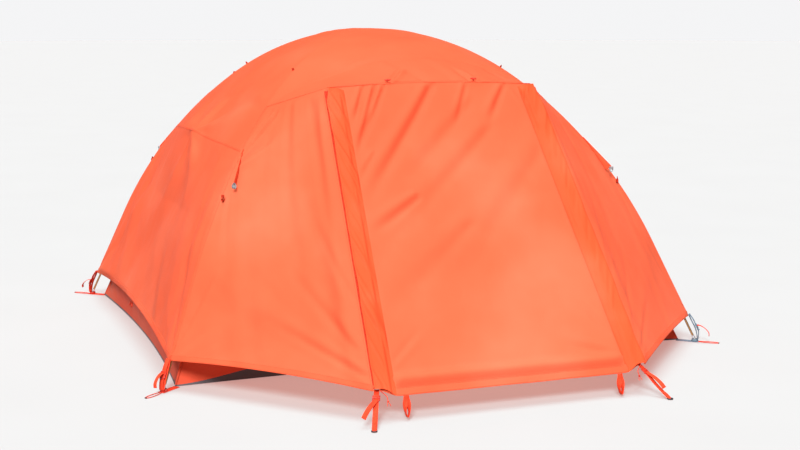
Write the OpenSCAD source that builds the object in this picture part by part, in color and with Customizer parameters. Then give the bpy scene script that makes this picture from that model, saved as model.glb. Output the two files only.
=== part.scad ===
// Freestanding two-door dome tent: two crossed poles and a brow pole, an inner tent hung on
// clips, and a full rain fly with a zipped door and a vestibule on each long side.
// Frame: +Z up, ground at z = 0, doors face -Y (near) and +Y (far), origin under the apex.

/* [Poles] */
// Outside diameter of the pole tubes
pole_d = 8.9; // [7.5:0.1:9.2]
// Inside diameter of the pole tubes
pole_bore = 7.6; // [6.8:0.1:7.8]
// Length of one pole section
section_len = 457; // [455:1:458]
// Bend radius of the upper three sections of a main pole
crown_r = 1176; // [1170:1:1180]
// Bend radius of the shoulder sections of a main pole
shoulder_r = 1787; // [1780:1:1795]
// Height of the lower main pole at the crossing
lower_pole_top = 1262; // [1260:1:1264]
// Distance between pole centres where they cross
cross_step = 9.6; // [9.4:0.1:9.8]
// Reach of the brow pole each side of the crossing
brow_reach = 735; // [730:1:736]
// Drop of the brow pole's ends below its crown
brow_drop = 203; // [200:1:206]

/* [Fly] */
// Height of the fly over the crossing
fly_top = 1290; // [1290:1:1292]
// Half width of the door at its top
door_top_x = 423; // [420:1:426]
// Distance of the door's top seam from the centre
door_top_y = 746; // [745:1:750]
// Height of the door's top seam
door_top_z = 1077; // [1075:1:1078]
// Half width of the door at its hem
door_foot_x = 500; // [498:1:505]
// Distance of the door's hem from the centre
door_foot_y = 1540; // [1535:1:1545]
// Height of the door's hem
door_foot_z = 103; // [100:1:106]
// Thickness of a fly panel
fly_t = 3; // [2:0.5:3]
// Width of a storm flap
flap_w = 72; // [60:1:80]

/* [Inner tent] */
// Length of the floor at its corners
floor_x = 2130; // [2120:1:2134]
// Width of the floor at its corners
floor_y = 1770; // [1760:1:1774]
// Height of the bathtub wall
tub_h = 110; // [100:1:112]
// Gap between the poles and the canopy
canopy_gap = 60; // [58:1:64]
// Thickness of a canopy panel
canopy_t = 2; // [1.5:0.5:2]
// Width of an inner door
inner_door_w = 640; // [600:5:650]
// Height of an inner door's top
inner_door_top = 900; // [880:5:910]

/* [Webbing] */
// Width of the tension straps
strap_w = 15; // [12:1:15]
// Thickness of the webbing
strap_t = 1.5; // [1.2:0.1:1.5]
// Distance of a stake from the centre, across the door
stake_x = 557; // [550:1:562]
// Distance of a stake from the centre, out from the door
stake_y = 1656; // [1650:1:1660]
// Diameter of a stake ring's hole
stake_hole_d = 11; // [8:0.5:12]

/* [Hidden] */
$fn = 48;

fly_colour = [1.0, 0.42, 0.28];
deep_colour = [0.85, 0.22, 0.12];
mesh_colour = [0.78, 0.76, 0.74];
dark_colour = [0.25, 0.25, 0.27];
pole_colour = [0.74, 0.56, 0.33];

// Half angles turned by each stretch of a main pole, and the plan direction of the poles
crown_run = 1.5 * section_len;
shoulder_run = 3.5 * section_len;
crown_turn = crown_run / crown_r * 180 / PI;
shoulder_turn = crown_turn + (shoulder_run - crown_run) / shoulder_r * 180 / PI;
plan = [1120, 940] / norm([1120, 940]);
plan_turn = atan2(plan.y, plan.x);
upper_pole_top = lower_pole_top + cross_step;
brow_top = upper_pole_top + cross_step;
brow_r = (pow(brow_reach, 2) + pow(brow_drop, 2)) / (2 * brow_drop);
brow_turn = asin(brow_reach / brow_r);
joint_gap = 0.4;

// Facets in a full turn of a wide arc
arc_fn = 1440;

// The fly lies this far outside the poles' line
fly_off = 12;
leg_top = fly_top - fly_off;
run_hip = 860;
run_seam = 1093;
run_hem = 1946;
brow_seam_z = 1090;

door_len = norm([door_foot_y - door_top_y, door_top_z - door_foot_z]);
door_tilt = atan2(door_top_z - door_foot_z, door_foot_y - door_top_y);
zip_lean = atan2(door_foot_x - door_top_x, door_len);
zip_len = norm([door_foot_x - door_top_x, door_len]);

wall_foot = [858, tub_h + 2];
wall_crown = [400, 1225];
wall_lean = atan2(wall_foot.x - wall_crown.x, wall_crown.y - wall_foot.y);

function lerp(a, b, t) = a + (b - a) * t;
function unit(v) = v / norm(v);

// Point of a main pole's curve in its own plane [out, up], at a run along it from the crown,
// moved outward by off
function arch(run, off, top) =
    let (
        c1 = [0, top - crown_r],
        c2 = c1 + (crown_r - shoulder_r) * [sin(crown_turn), cos(crown_turn)],
        a1 = run / crown_r * 180 / PI,
        a2 = crown_turn + (run - crown_run) / shoulder_r * 180 / PI,
        out = [sin(shoulder_turn), cos(shoulder_turn)]
    )
    run <= crown_run ? c1 + (crown_r + off) * [sin(a1), cos(a1)]
    : run <= shoulder_run ? c2 + (shoulder_r + off) * [sin(a2), cos(a2)]
    : c2 + (shoulder_r + off) * out + (run - shoulder_run) * [out.y, -out.x];

// The same point in space, in the far right quarter
function leg(run, off, top) =
    let (p = arch(run, off, top)) [p.x * plan.x, p.x * plan.y, p.y];
function fly_leg(run) = leg(run, fly_off, leg_top);

// Height of the fly along its ridge over the brow pole
function ridge_z(y) = fly_top - (fly_top - brow_seam_z) * pow(y / door_top_y, 2);

// --- helpers -------------------------------------------------------------------------------

module quarter(qx, qy) {
    mirror([qx < 0 ? 1 : 0, 0, 0]) mirror([0, qy < 0 ? 1 : 0, 0]) children();
}

module all_quarters() {
    for (qx = [-1, 1], qy = [-1, 1])
        quarter(qx, qy) children();
}

// A closed sheet: the surface f(u, v) and its copy moved by shift, joined round the edge
module sheet(f, us, vs, shift) {
    nu = len(us);
    nv = len(vs);
    total = nu * nv;
    skin = [for (v = vs, u = us) f(u, v)];
    function at(i, j) = j * nu + i;
    faces = [
        for (j = [0 : nv - 2], i = [0 : nu - 2])
            let (a = at(i, j), b = at(i + 1, j), c = at(i + 1, j + 1), d = at(i, j + 1),
                 split = (us[i] + us[i + 1]) * (vs[j] + vs[j + 1]) >= 0)
            each (split ? [[a, c, b], [a, d, c]] : [[a, d, b], [b, d, c]]),
        for (j = [0 : nv - 2], i = [0 : nu - 2])
            let (a = total + at(i, j), b = total + at(i + 1, j),
                 c = total + at(i + 1, j + 1), d = total + at(i, j + 1),
                 split = (us[i] + us[i + 1]) * (vs[j] + vs[j + 1]) >= 0)
            each (split ? [[a, b, c], [a, c, d]] : [[a, b, d], [b, c, d]]),
        for (i = [0 : nu - 2])
            let (a = at(i, 0), b = at(i + 1, 0), c = at(i, nv - 1), d = at(i + 1, nv - 1))
            each [[a, b, total + b], [a, total + b, total + a],
                  [c, total + d, d], [c, total + c, total + d]],
        for (j = [0 : nv - 2])
            let (a = at(0, j), b = at(0, j + 1), c = at(nu - 1, j), d = at(nu - 1, j + 1))
            each [[a, total + b, b], [a, total + a, total + b],
                  [c, d, total + d], [c, total + d, total + c]]
    ];
    polyhedron([each skin, for (p = skin) p + shift], faces, convexity = 6);
}

// A round cord of radius r along points, with its frame kept level
module cord(points, r, sides) {
    last = len(points) - 1;
    function way(i) = unit(points[min(i + 1, last)] - points[max(i - 1, 0)]);
    rings = [for (i = [0 : last])
        let (t = way(i), side = unit(cross(t, [0, 0.01, 1])), up = cross(side, t))
        for (k = [0 : sides - 1])
            points[i] + r * (cos(k * 360 / sides) * side + sin(k * 360 / sides) * up)];
    faces = [
        for (i = [0 : last - 1], k = [0 : sides - 1])
            let (a = i * sides + k, b = i * sides + (k + 1) % sides)
            each [[a, a + sides, b], [b, a + sides, b + sides]],
        for (k = [1 : sides - 2]) [0, k, k + 1],
        for (k = [1 : sides - 2]) [last * sides, last * sides + k + 1, last * sides + k]
    ];
    polyhedron(rings, faces, convexity = 6);
}

// Puts a shape drawn in [out, up] into the vertical plane of a main pole
module in_pole_plane() {
    rotate([0, 0, plan_turn]) rotate([90, 0, 0]) children();
}

// Round bars of diameter d along the three stretches of a main pole, from run a to run b
module crown_bar(a, b, d, top) {
    translate([0, top - crown_r, 0])
        rotate([0, 0, 90 - b / crown_r * 180 / PI])
            rotate_extrude(angle = (b - a) / crown_r * 180 / PI, $fn = arc_fn)
                translate([crown_r, 0]) circle(d = d, $fn = 24);
}

module shoulder_bar(a, b, d, top) {
    turn = crown_turn + (b - crown_run) / shoulder_r * 180 / PI;
    translate([0, top - crown_r, 0])
        translate((crown_r - shoulder_r) * [sin(crown_turn), cos(crown_turn), 0])
            rotate([0, 0, 90 - turn])
                rotate_extrude(angle = (b - a) / shoulder_r * 180 / PI, $fn = arc_fn)
                    translate([shoulder_r, 0]) circle(d = d, $fn = 24);
}

module foot_bar(a, b, d, top) {
    p = arch(shoulder_run, 0, top);
    translate([p.x, p.y, 0])
        rotate([0, 0, -shoulder_turn]) translate([a - shoulder_run, 0, 0]) rotate([0, 90, 0])
            cylinder(d = d, h = b - a, $fn = 24);
}

module bent_bar(a, b, d, top) {
    if (b <= crown_run + 0.01)
        crown_bar(a, b, d, top);
    else if (b <= shoulder_run + 0.01)
        shoulder_bar(a, b, d, top);
    else
        foot_bar(a, b, d, top);
}

// Run at which the straight foot of a pole comes down to a height
function run_at(z, top) = shoulder_run + (arch(shoulder_run, 0, top).y - z) / sin(shoulder_turn);

module pole_section(a, b, top) {
    difference() {
        bent_bar(a + joint_gap / 2, b - joint_gap / 2, pole_d, top);
        bent_bar(a, b, pole_bore, top);
    }
}

module main_pole(top) {
    foot = run_at(tip_foot_z, top);
    in_pole_plane() {
        pole_section(-section_len / 2, section_len / 2, top);
        for (side = [0, 1])
            mirror([side, 0, 0]) {
                pole_section(section_len / 2, crown_run, top);
                pole_section(crown_run, crown_run + section_len, top);
                pole_section(crown_run + section_len, shoulder_run, top);
                pole_section(shoulder_run, foot, top);
            }
    }
}

// Places a shape on a leg: local X runs down the leg, local Z points out from the tent
module on_leg(run, off, top) {
    p = arch(run, off, top);
    a = arch(run - 1, off, top);
    slope = atan2(p.y - a.y, p.x - a.x);
    in_pole_plane()
        translate([p.x, p.y, 0]) rotate([0, 0, slope]) rotate([-90, 0, 0]) children();
}

// Local X across the door, Y up its slope and Z out of it, from the middle of its top seam,
// for the far door
module on_door() {
    translate([0, door_top_y, door_top_z])
        mirror([0, 1, 0]) rotate([door_tilt, 0, 0]) children();
}

// Local Y up the zip, X out from the door, Z out of the fly, from the zip's top
module on_zip() {
    on_door() translate([door_top_x, 0, 0]) rotate([0, 0, zip_lean]) children();
}

// --- poles ---------------------------------------------------------------------------------

module main_pole_a() {
    color(pole_colour) main_pole(upper_pole_top);
}

module main_pole_b() {
    color(pole_colour) mirror([0, 1, 0]) main_pole(lower_pole_top);
}

brow_section = brow_turn * 2 / 3;

module brow_bar(from, sweep, d) {
    translate([0, 0, brow_top - brow_r]) rotate([90, 0, 90])
        rotate([0, 0, from]) rotate_extrude(angle = sweep, $fn = arc_fn)
            translate([brow_r, 0]) circle(d = d, $fn = 24);
}

module brow_pole() {
    color(pole_colour)
        for (k = [0 : 2])
            difference() {
                brow_bar(90 - brow_turn + k * brow_section + 0.01, brow_section - 0.02, pole_d);
                brow_bar(90 - brow_turn + k * brow_section, brow_section, pole_bore);
            }
}

ferrule_half = 42;
ferrule_short = 30;
ferrule_d = pole_bore - 0.8;
ferrule_bore = 4.4;

module main_ferrules(top) {
    difference() {
        union() {
            for (joint = [-section_len / 2, section_len / 2])
                crown_bar(joint - ferrule_half, joint + ferrule_half, ferrule_d, top);
        }
        crown_bar(-section_len, section_len, ferrule_bore, top);
    }
    for (side = [0, 1])
        mirror([side, 0, 0]) {
            difference() {
                crown_bar(crown_run - ferrule_half, crown_run + ferrule_half, ferrule_d, top);
                crown_bar(crown_run - section_len, crown_run + section_len, ferrule_bore, top);
            }
            for (joint = [crown_run + section_len, shoulder_run])
                difference() {
                    shoulder_bar(joint - ferrule_half, joint + ferrule_short, ferrule_d, top);
                    shoulder_bar(joint - section_len, joint + section_len, ferrule_bore, top);
                }
        }
}

module pole_ferrules() {
    color("silver") {
        in_pole_plane() main_ferrules(upper_pole_top);
        mirror([0, 1, 0]) in_pole_plane() main_ferrules(lower_pole_top);
        half_angle = ferrule_half / brow_r * 180 / PI;
        for (side = [-1, 1])
            difference() {
                brow_bar(90 + side * brow_section / 2 - half_angle, 2 * half_angle, ferrule_d);
                brow_bar(90 + side * brow_section / 2 - half_angle - 1, 2 * half_angle + 2,
                         ferrule_bore);
            }
    }
}

tip_d = 9.6;
tip_plug = 18;
tip_foot_z = 26;
tip_end_z = 9.5;
shock_d = 2.4;

// A plug that fills the tube's end, a collar and a round nose, along +Z
module pole_tip(collar) {
    rotate_extrude($fn = 48) {
        square([ferrule_d / 2, tip_plug]);
        translate([0, -collar]) square([tip_d / 2, collar]);
        intersection() {
            translate([0, -collar]) circle(d = tip_d, $fn = 48);
            translate([0, -collar - tip_d]) square([tip_d, tip_d + 0.01]);
        }
    }
}

module main_pole_tips(top) {
    foot = run_at(tip_foot_z, top);
    end = run_at(tip_end_z, top);
    for (side = [0, 1])
        mirror([side, 0, 0]) {
            p = arch(foot, 0, top);
            translate([p.x, p.y, 0]) rotate([0, 0, -shoulder_turn]) rotate([0, -90, 0])
                pole_tip(end - foot);
        }
}

module pole_tips() {
    color(dark_colour) {
        in_pole_plane() main_pole_tips(upper_pole_top);
        mirror([0, 1, 0]) in_pole_plane() main_pole_tips(lower_pole_top);
        for (side = [0, 1])
            mirror([0, side, 0])
                translate([0, brow_reach, brow_top - brow_drop])
                    rotate([90 - brow_turn, 0, 0]) pole_tip(1);
    }
}

function shock_route(top, stretch_end, n) =
    [for (k = [-n : n])
        let (run = stretch_end * k / n, p = arch(abs(run), 0, top), s = sign(run))
        [s * p.x * plan.x, s * p.x * plan.y, p.y]];

function brow_route(turn, n) =
    [for (k = [-n : n])
        [0, brow_r * sin(turn * k / n), brow_top - brow_r + brow_r * cos(turn * k / n)]];

module shock_cords() {
    color("white") {
        for (pole = [0, 1]) {
            top = pole == 0 ? upper_pole_top : lower_pole_top;
            mirror([0, pole, 0])
                cord(shock_route(top, run_at(tip_foot_z, top) - tip_plug - 2, 36), shock_d / 2, 6);
        }
        cord(brow_route(brow_turn - 1, 12), shock_d / 2, 6);
    }
}

hub_d = 46;

module crossing_hub() {
    color(dark_colour)
        difference() {
            translate([0, 0, lower_pole_top - 8]) cylinder(d = hub_d, h = 2 * cross_step + 11);
            for (level = [0 : 2])
                translate([0, 0, lower_pole_top + level * cross_step - 0.1])
                    rotate([0, 0, [-plan_turn, plan_turn, 90][level]])
                        rotate([0, 90, 0]) cylinder(d = pole_d + 0.5, h = 2 * hub_d, center = true);
        }
}

clip_runs = [340, 600, 860, 1150, 1440, 1720];
clip_len = 16;
clip_wall = 2.4;

module pole_clip() {
    rotate([0, 90, 0])
        difference() {
            union() {
                cylinder(d = pole_d + 0.5 + 2 * clip_wall, h = clip_len, center = true);
                translate([0, -3, -clip_len / 2]) cube([14, 6, clip_len]);
            }
            cylinder(d = pole_d + 0.5, h = clip_len + 2, center = true);
            translate([-10, -2.6, -clip_len]) cube([10, 5.2, 2 * clip_len]);
        }
}

module pole_clips() {
    color(dark_colour)
        for (qx = [-1, 1], qy = [-1, 1])
            quarter(qx, qy)
                for (run = clip_runs)
                    on_leg(run, 0, qx * qy > 0 ? upper_pole_top : lower_pole_top) pole_clip();
}

// Distance from a pole in to the canopy, along the pole's inward normal
function canopy_reach(run, top) =
    let (
        p = leg(run, 0, top),
        q = leg(run, -1, top),
        inward = q - p,
        wall_n = [0, cos(wall_lean), sin(wall_lean)],
        past = (p.y - wall_foot.x) * wall_n.y + (p.z - wall_foot.y) * wall_n.z
    )
    max(canopy_gap + (top - lower_pole_top), -past / (inward * wall_n));

module clip_straps() {
    color("black")
        for (qx = [-1, 1], qy = [-1, 1])
            quarter(qx, qy)
                for (run = clip_runs) {
                    top = qx * qy > 0 ? upper_pole_top : lower_pole_top;
                    reach = canopy_reach(run, top) - 4;
                    on_leg(run, 0, top)
                        translate([-6, -0.75, -reach]) cube([12, 1.5, reach - 14.5]);
                }
}

// --- inner tent ----------------------------------------------------------------------------

floor_t = 3;
end_sag = 40;
side_sag = 25;
tub_t = 2.5;
edge_steps = 12;

// Half the floor's outline along one end, and along one side, drawn in by inset
function end_edge(inset, cut) =
    [for (k = [-edge_steps : edge_steps])
        let (w = k / edge_steps, y = w * (floor_y / 2 - cut))
        [floor_x / 2 - end_sag * (1 - w * w) - inset, y]];
function side_edge(inset, cut) =
    [for (k = [-edge_steps : edge_steps])
        let (w = k / edge_steps, x = w * (floor_x / 2 - cut))
        [x, floor_y / 2 - side_sag * (1 - w * w) - inset]];
function turn_back(points) = [for (k = [len(points) - 1 : -1 : 0]) points[k]];

module floor_sheet() {
    color(dark_colour)
        linear_extrude(floor_t)
            intersection() {
                polygon(concat(turn_back(end_edge(0, 0)), -1 * turn_back(end_edge(0, 0))));
                polygon(concat(side_edge(0, 0), -1 * side_edge(0, 0)));
            }
}

module floor_walls() {
    inset = 6;
    color(deep_colour)
        translate([0, 0, floor_t + 0.3])
            linear_extrude(tub_h - floor_t)
                for (side = [0, 1]) {
                    mirror([side, 0])
                        polygon(concat(end_edge(0, inset), turn_back(end_edge(tub_t, inset))));
                    mirror([0, side])
                        polygon(concat(side_edge(0, inset), turn_back(side_edge(tub_t, inset))));
                }
}

// Outline [x, z] of the canopy's barrel, set in from the poles by gap
function barrel_side(gap, from, to, steps) =
    [for (k = [0 : steps])
        let (p = arch(lerp(from, to, k / steps), -gap, lower_pole_top)) [p.x * plan.x, p.y]];

function flip_x(points) = [for (k = [len(points) - 1 : -1 : 0]) [-points[k].x, points[k].y]];

// Region between the near and far walls, kept back from each by gap
module between_walls(gap) {
    rotate([90, 0, 90])
        translate([0, 0, -1200])
            linear_extrude(2400)
                polygon([
                    [-wall_foot.x + gap, wall_foot.y], [wall_foot.x - gap, wall_foot.y],
                    [wall_crown.x - gap, wall_crown.y], [-wall_crown.x + gap, wall_crown.y]
                ]);
}

run_roof = 800;
run_wall_foot = run_at(tub_h + 2, lower_pole_top) - 30;

module barrel_band(points) {
    intersection() {
        translate([0, 1000, 0]) rotate([90, 0, 0]) linear_extrude(2000) polygon(points);
        between_walls(4);
    }
}

module inner_end() {
    steps = 12;
    from = run_roof + 3;
    outer = barrel_side(canopy_gap, from, run_wall_foot, steps);
    inner = barrel_side(canopy_gap + canopy_t, from, run_wall_foot, steps);
    barrel_band(concat(outer, turn_back(inner)));
}

module inner_end_left() {
    color(mesh_colour) mirror([1, 0, 0]) inner_end();
}

module inner_end_right() {
    color(mesh_colour) inner_end();
}

module inner_roof() {
    steps = 10;
    outer = barrel_side(canopy_gap, 1, run_roof, steps);
    inner = barrel_side(canopy_gap + canopy_t, 1, run_roof, steps);
    top = concat(flip_x(outer), outer);
    under = concat(flip_x(inner), inner);
    color(mesh_colour) barrel_band(concat(top, turn_back(under)));
}

// A sloped slab through the far wall's plane
module wall_slab(extra) {
    rise = wall_crown - wall_foot;
    base = [wall_foot.x, wall_foot.y];
    shift = [canopy_t, 0];
    rotate([90, 0, 90])
        translate([0, 0, -1200])
            linear_extrude(2400)
                polygon([base + [extra, 0], base + rise + [extra, 0],
                         base + rise - shift - [extra, 0], base - shift - [extra, 0]]);
}

// The inner door's outline seen along Y, grown by grow
module door_outline(grow) {
    corner = 230;
    left = -inner_door_w / 2;
    low = 180;
    w = inner_door_w + 2 * grow;
    r = corner + grow;
    translate([left - grow, low - grow]) square([w, inner_door_top - low - corner + grow]);
    translate([left - grow + r, low]) square([w - 2 * r, inner_door_top - low + grow]);
    for (x = [left + corner, -left - corner])
        translate([x, inner_door_top - corner]) circle(r = r, $fn = 96);
}

module door_prism(grow) {
    translate([0, 1000, 0]) rotate([90, 0, 0]) linear_extrude(1000) door_outline(grow);
}

module inner_wall() {
    steps = 22;
    side = barrel_side(canopy_gap + canopy_t + 1, 1, run_wall_foot, steps);
    difference() {
        intersection() {
            wall_slab(0);
            translate([0, 1000, 0]) rotate([90, 0, 0]) linear_extrude(2000)
                polygon(concat(flip_x(side), side));
        }
        door_prism(6);
    }
}

module inner_wall_near() {
    color(mesh_colour) mirror([0, 1, 0]) inner_wall();
}

module inner_wall_far() {
    color(mesh_colour) inner_wall();
}

module inner_door() {
    intersection() {
        wall_slab(0);
        door_prism(-1);
    }
}

module inner_door_near() {
    color(mesh_colour) mirror([0, 1, 0]) inner_door();
}

module inner_door_far() {
    color(mesh_colour) inner_door();
}

module inner_zips() {
    color(dark_colour)
        for (side = [0, 1])
            mirror([0, side, 0])
                intersection() {
                    wall_slab(0);
                    difference() {
                        door_prism(5.5);
                        door_prism(2.5);
                        translate([-inner_door_w / 2 - 20, 0, 0]) cube([30, 1200, inner_door_top - 100]);
                    }
                }
}

// --- fly -----------------------------------------------------------------------------------

function steps(n, from, to) = [for (k = [0 : n]) lerp(from, to, k / n)];

// Outward swell of an end gore at a run, and the lift of its hem
function end_swell(run) = lookup(run, [[0, 0], [run_hip, 30], [run_seam, 46], [1420, 0], [run_hem, -18]]);
function end_lift(run) = lookup(run, [[1420, 0], [run_hem, 42]]);

function roof_point(u, v) =
    let (
        reach = max(abs(u), abs(v)),
        p = fly_leg(reach * run_hip),
        front = abs(v) >= abs(u),
        w = reach < 0.001 ? 0 : (front ? u : v) / reach,
        fill = 1 - w * w,
        push = 50 * reach * reach,
        rise = ridge_z(p.y + push) - p.z,
        swell = 30 * reach * reach
    )
    reach < 0.001 ? [0, 0, fly_top]
    : front ? [p.x * w, sign(v) * (p.y + push * fill), p.z + rise * fill]
    : [sign(u) * (p.x + swell * fill), p.y * w, p.z + 0.5 * swell * fill];

function visor_point(w, t) =
    let (
        hip = fly_leg(run_hip),
        side = lerp(hip, [door_top_x, door_top_y, door_top_z], t),
        fill = 1 - w * w,
        push = 50 * (1 - t),
        rise = ridge_z(side.y + push) - side.z
    )
    [side.x * w, side.y + push * fill, side.z + rise * fill];

module visor() {
    sheet(function (w, t) visor_point(w, t), steps(10, -0.985, 0.985), steps(3, 0.02, 0.985),
          [0, 0, -fly_t]);
}

module fly_roof() {
    color(fly_colour) {
        sheet(function (u, v) roof_point(u, v), steps(14, -0.997, 0.997), steps(14, -0.997, 0.997),
              [0, 0, -fly_t]);
        visor();
        mirror([0, 1, 0]) visor();
    }
}

function end_point(w, run) =
    let (p = fly_leg(run), fill = 1 - w * w)
    [p.x + end_swell(run) * fill, p.y * w, p.z + (0.5 * max(end_swell(run), 0) + end_lift(run)) * fill];

module fly_end() {
    runs = concat(steps(2, run_hip + 4, run_seam), steps(7, run_seam + 110, run_hem));
    sheet(function (w, run) end_point(w, run), steps(10, -0.99, 0.99), runs, [-fly_t, 0, -fly_t / 2]);
}

module fly_end_left() {
    color(fly_colour) mirror([1, 0, 0]) fly_end();
}

module fly_end_right() {
    color(fly_colour) fly_end();
}

// The zip's line with the side panel's edge kept clear of its tape
zip_tape = 17;

function side_point(u, v) =
    let (
        a = fly_leg(lerp(run_hip + 4, run_hem, v)),
        zip_top = [door_top_x, door_top_y, door_top_z],
        zip_foot = [door_foot_x, door_foot_y, door_foot_z],
        b = lerp(zip_top, zip_foot, v) + [zip_tape, 0, 0],
        hem_lift = 14 * 4 * u * (1 - u) * pow(v, 4)
    )
    lerp(a, b, u) + [0, 0, hem_lift];

module fly_side() {
    sheet(function (u, v) side_point(u, v), steps(8, 0.012, 1), steps(9, 0.01, 0.992),
          -fly_t * unit([0.45, 0.75, 0.5]));
}

module fly_side_near_left() {
    color(fly_colour) quarter(-1, -1) fly_side();
}

module fly_side_near_right() {
    color(fly_colour) quarter(1, -1) fly_side();
}

module fly_side_far_left() {
    color(fly_colour) quarter(-1, 1) fly_side();
}

module fly_side_far_right() {
    color(fly_colour) fly_side();
}

zip_start = 18;
zip_stop = zip_len - 8;

module zip_rail() {
    on_zip()
        translate([0, -zip_start, 0]) rotate([90, 0, 0])
            linear_extrude(zip_stop - zip_start)
                polygon([[0.5, -1.5], [3, -1.5], [3, -0.6], [zip_tape - 3, -0.6],
                         [zip_tape - 3, 0.6], [3, 0.6], [3, 1.5], [0.5, 1.5]]);
}

module fly_zips() {
    color(deep_colour) all_quarters() zip_rail();
}

// A fin stands on the door side of a leg and ends in a reflective loop
fin_height = 26;

function fin_points() =
    let (
        n = unit([0.45, 0.75, 0.5]),
        top = side_point(0.02, 0.215) + 3 * n,
        foot = side_point(0.085, 0.36) + 3 * n
    )
    [top, foot, foot + fin_height * n];

module plate(points, shift) {
    last = len(points) - 1;
    count = len(points);
    faces = [
        for (k = [1 : last - 1]) [0, k + 1, k],
        for (k = [1 : last - 1]) [count, count + k, count + k + 1],
        for (k = [0 : last])
            let (a = k, b = (k + 1) % count)
            each [[a, b, count + b], [a, count + b, count + a]]
    ];
    polyhedron([each points, for (p = points) p + shift], faces);
}

module guyout_fins() {
    color(deep_colour) all_quarters() plate(fin_points(), [1.5, 0, 0]);
}

// A flat loop of folded webbing that hangs from a point, with a slot through it
module webbing_loop(w, h, t) {
    difference() {
        translate([-w / 2, -t * 2, -h]) cube([w, t * 4, h]);
        translate([-w / 2 - 1, -t, -h + t]) cube([w + 2, t * 2, h - 3 * t]);
    }
}

roof_loop_run = 619;

module reflective_loops() {
    color("gray") {
        all_quarters()
            translate(fin_points()[2] + [0.75, 2, -1])
                rotate([0, 0, 40]) webbing_loop(16, 26, 1.2);
        for (qx = [-1, 1], qy = [-1, 1])
            quarter(qx, qy)
                on_leg(roof_loop_run, fly_off, leg_top)
                    translate([0, 0, 16]) rotate([0, 0, 90]) webbing_loop(10, 14, 1);
    }
}

module side_loops() {
    color(deep_colour)
        all_quarters()
            translate(side_point(0.04, 0.40) + [10, 15, 6])
                rotate([0, 0, 130]) webbing_loop(10, 26, 1);
}

toggle_x = 180;
toggle_y = door_top_y - 8;
// Each toggle follows the brow, which falls by this much from its middle to the tops of the zips
toggle_fall = 13;
toggle_z = ridge_z(toggle_y) + 9 - toggle_fall * pow(toggle_x / door_top_x, 2);

module brow_toggles() {
    color(deep_colour)
        for (x = [-toggle_x, toggle_x], side = [0, 1])
            mirror([0, side, 0])
                translate([x, toggle_y, toggle_z]) {
                    rotate([0, 90, 0]) cylinder(d = 6, h = 26, center = true);
                    translate([0, 0, -3.5]) cube([6, 2, 6], center = true);
                }
}

module fly_pole_ties() {
    color("black")
        for (qx = [-1, 1], qy = [-1, 1])
            quarter(qx, qy)
                for (run = [700, 1260])
                    on_leg(run, 0, qx * qy > 0 ? upper_pole_top : lower_pole_top)
                        rotate([0, 90, 0])
                            difference() {
                                cylinder(d = pole_d + 3, h = 20, center = true);
                                cylinder(d = pole_d + 0.5, h = 22, center = true);
                            }
}

// --- corners -------------------------------------------------------------------------------

// A corner's frame: local X points out along the pole's plan direction from the pole's tip
corner_top = [lower_pole_top, upper_pole_top];
function tip_out(top) = arch(run_at(tip_end_z, top), 0, top).x;

module at_corners() {
    for (qx = [-1, 1], qy = [-1, 1])
        quarter(qx, qy)
            rotate([0, 0, plan_turn])
                translate([tip_out(corner_top[qx * qy > 0 ? 1 : 0]), 0, 0]) children();
}

tab_t = 2;

module corner_tabs() {
    color(deep_colour)
        at_corners()
            difference() {
                union() {
                    translate([-78, -14, 0.2]) cube([96, 28, tab_t]);
                    translate([0, 0, 0.2]) cylinder(d = 26, h = 12);
                }
                translate([0, 0, tab_t]) cylinder(d = 20, h = 20);
            }
}

buckle_w = 21;
buckle_t = 5;

// A ladder-lock: a frame with a way through it for the strap and two windows over the bars
module ladder_lock(l) {
    difference() {
        translate([0, -buckle_w / 2, -buckle_t / 2]) cube([l, buckle_w, buckle_t]);
        translate([-1, -strap_w / 2 - 0.6, -strap_t / 2 - 0.4])
            cube([l + 2, strap_w + 1.2, strap_t + 0.8]);
        for (x = [3, l - 7])
            translate([x, -strap_w / 2 - 0.6, 0]) cube([4, strap_w + 1.2, buckle_t]);
    }
}

corner_strap_off = fly_off + 11;
corner_strap_from = run_hem - 6;
corner_strap_to = 2036;

module corner_buckles() {
    color(dark_colour)
        all_quarters()
            on_leg(1990, corner_strap_off, leg_top) ladder_lock(24);
}

module corner_straps() {
    color(fly_colour)
        all_quarters()
            on_leg(corner_strap_from, corner_strap_off, leg_top)
                translate([0, -strap_w / 2, -strap_t / 2])
                    cube([corner_strap_to - corner_strap_from, strap_w, strap_t]);
}

// A loop of cord lies on the ground outside each corner: [out, across] from the pole's tip
cord_d = 3;
cord_z = 1.9;
cord_route = [
    [14, 4], [20, 5], [30, 7], [42, 9], [55, 10], [68, 10], [80, 9], [90, 7], [97, 4], [99, 0],
    [97, -4], [90, -7], [80, -9], [68, -10], [55, -10], [42, -9], [30, -7], [20, -5], [14, -4]
];

module stake_cord(qx, qy) {
    color(deep_colour)
        quarter(qx, qy)
            rotate([0, 0, plan_turn])
                translate([tip_out(corner_top[qx * qy > 0 ? 1 : 0]), 0, 0])
                    cord([for (p = cord_route) [p.x, p.y, cord_z]], cord_d / 2, 8);
}

module stake_cord_near_left() { stake_cord(-1, -1); }
module stake_cord_near_right() { stake_cord(1, -1); }
module stake_cord_far_left() { stake_cord(-1, 1); }
module stake_cord_far_right() { stake_cord(1, 1); }

// --- vestibule corners ---------------------------------------------------------------------

strap_head = [door_foot_x + 8, door_foot_y - 2, door_foot_z - 12];
strap_foot = [stake_x, stake_y, -1];
// The webbing stops this far short of the middle of its stake ring
ring_gap = 8;
strap_way = strap_foot - strap_head;
strap_len = norm(strap_way);
strap_turn = atan2(strap_way.y, strap_way.x);
strap_dip = asin(-strap_way.z / strap_len);

// Local X runs down a tension strap from its head, Z points out of it
module on_strap() {
    translate(strap_head) rotate([0, strap_dip, strap_turn]) children();
}

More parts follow.
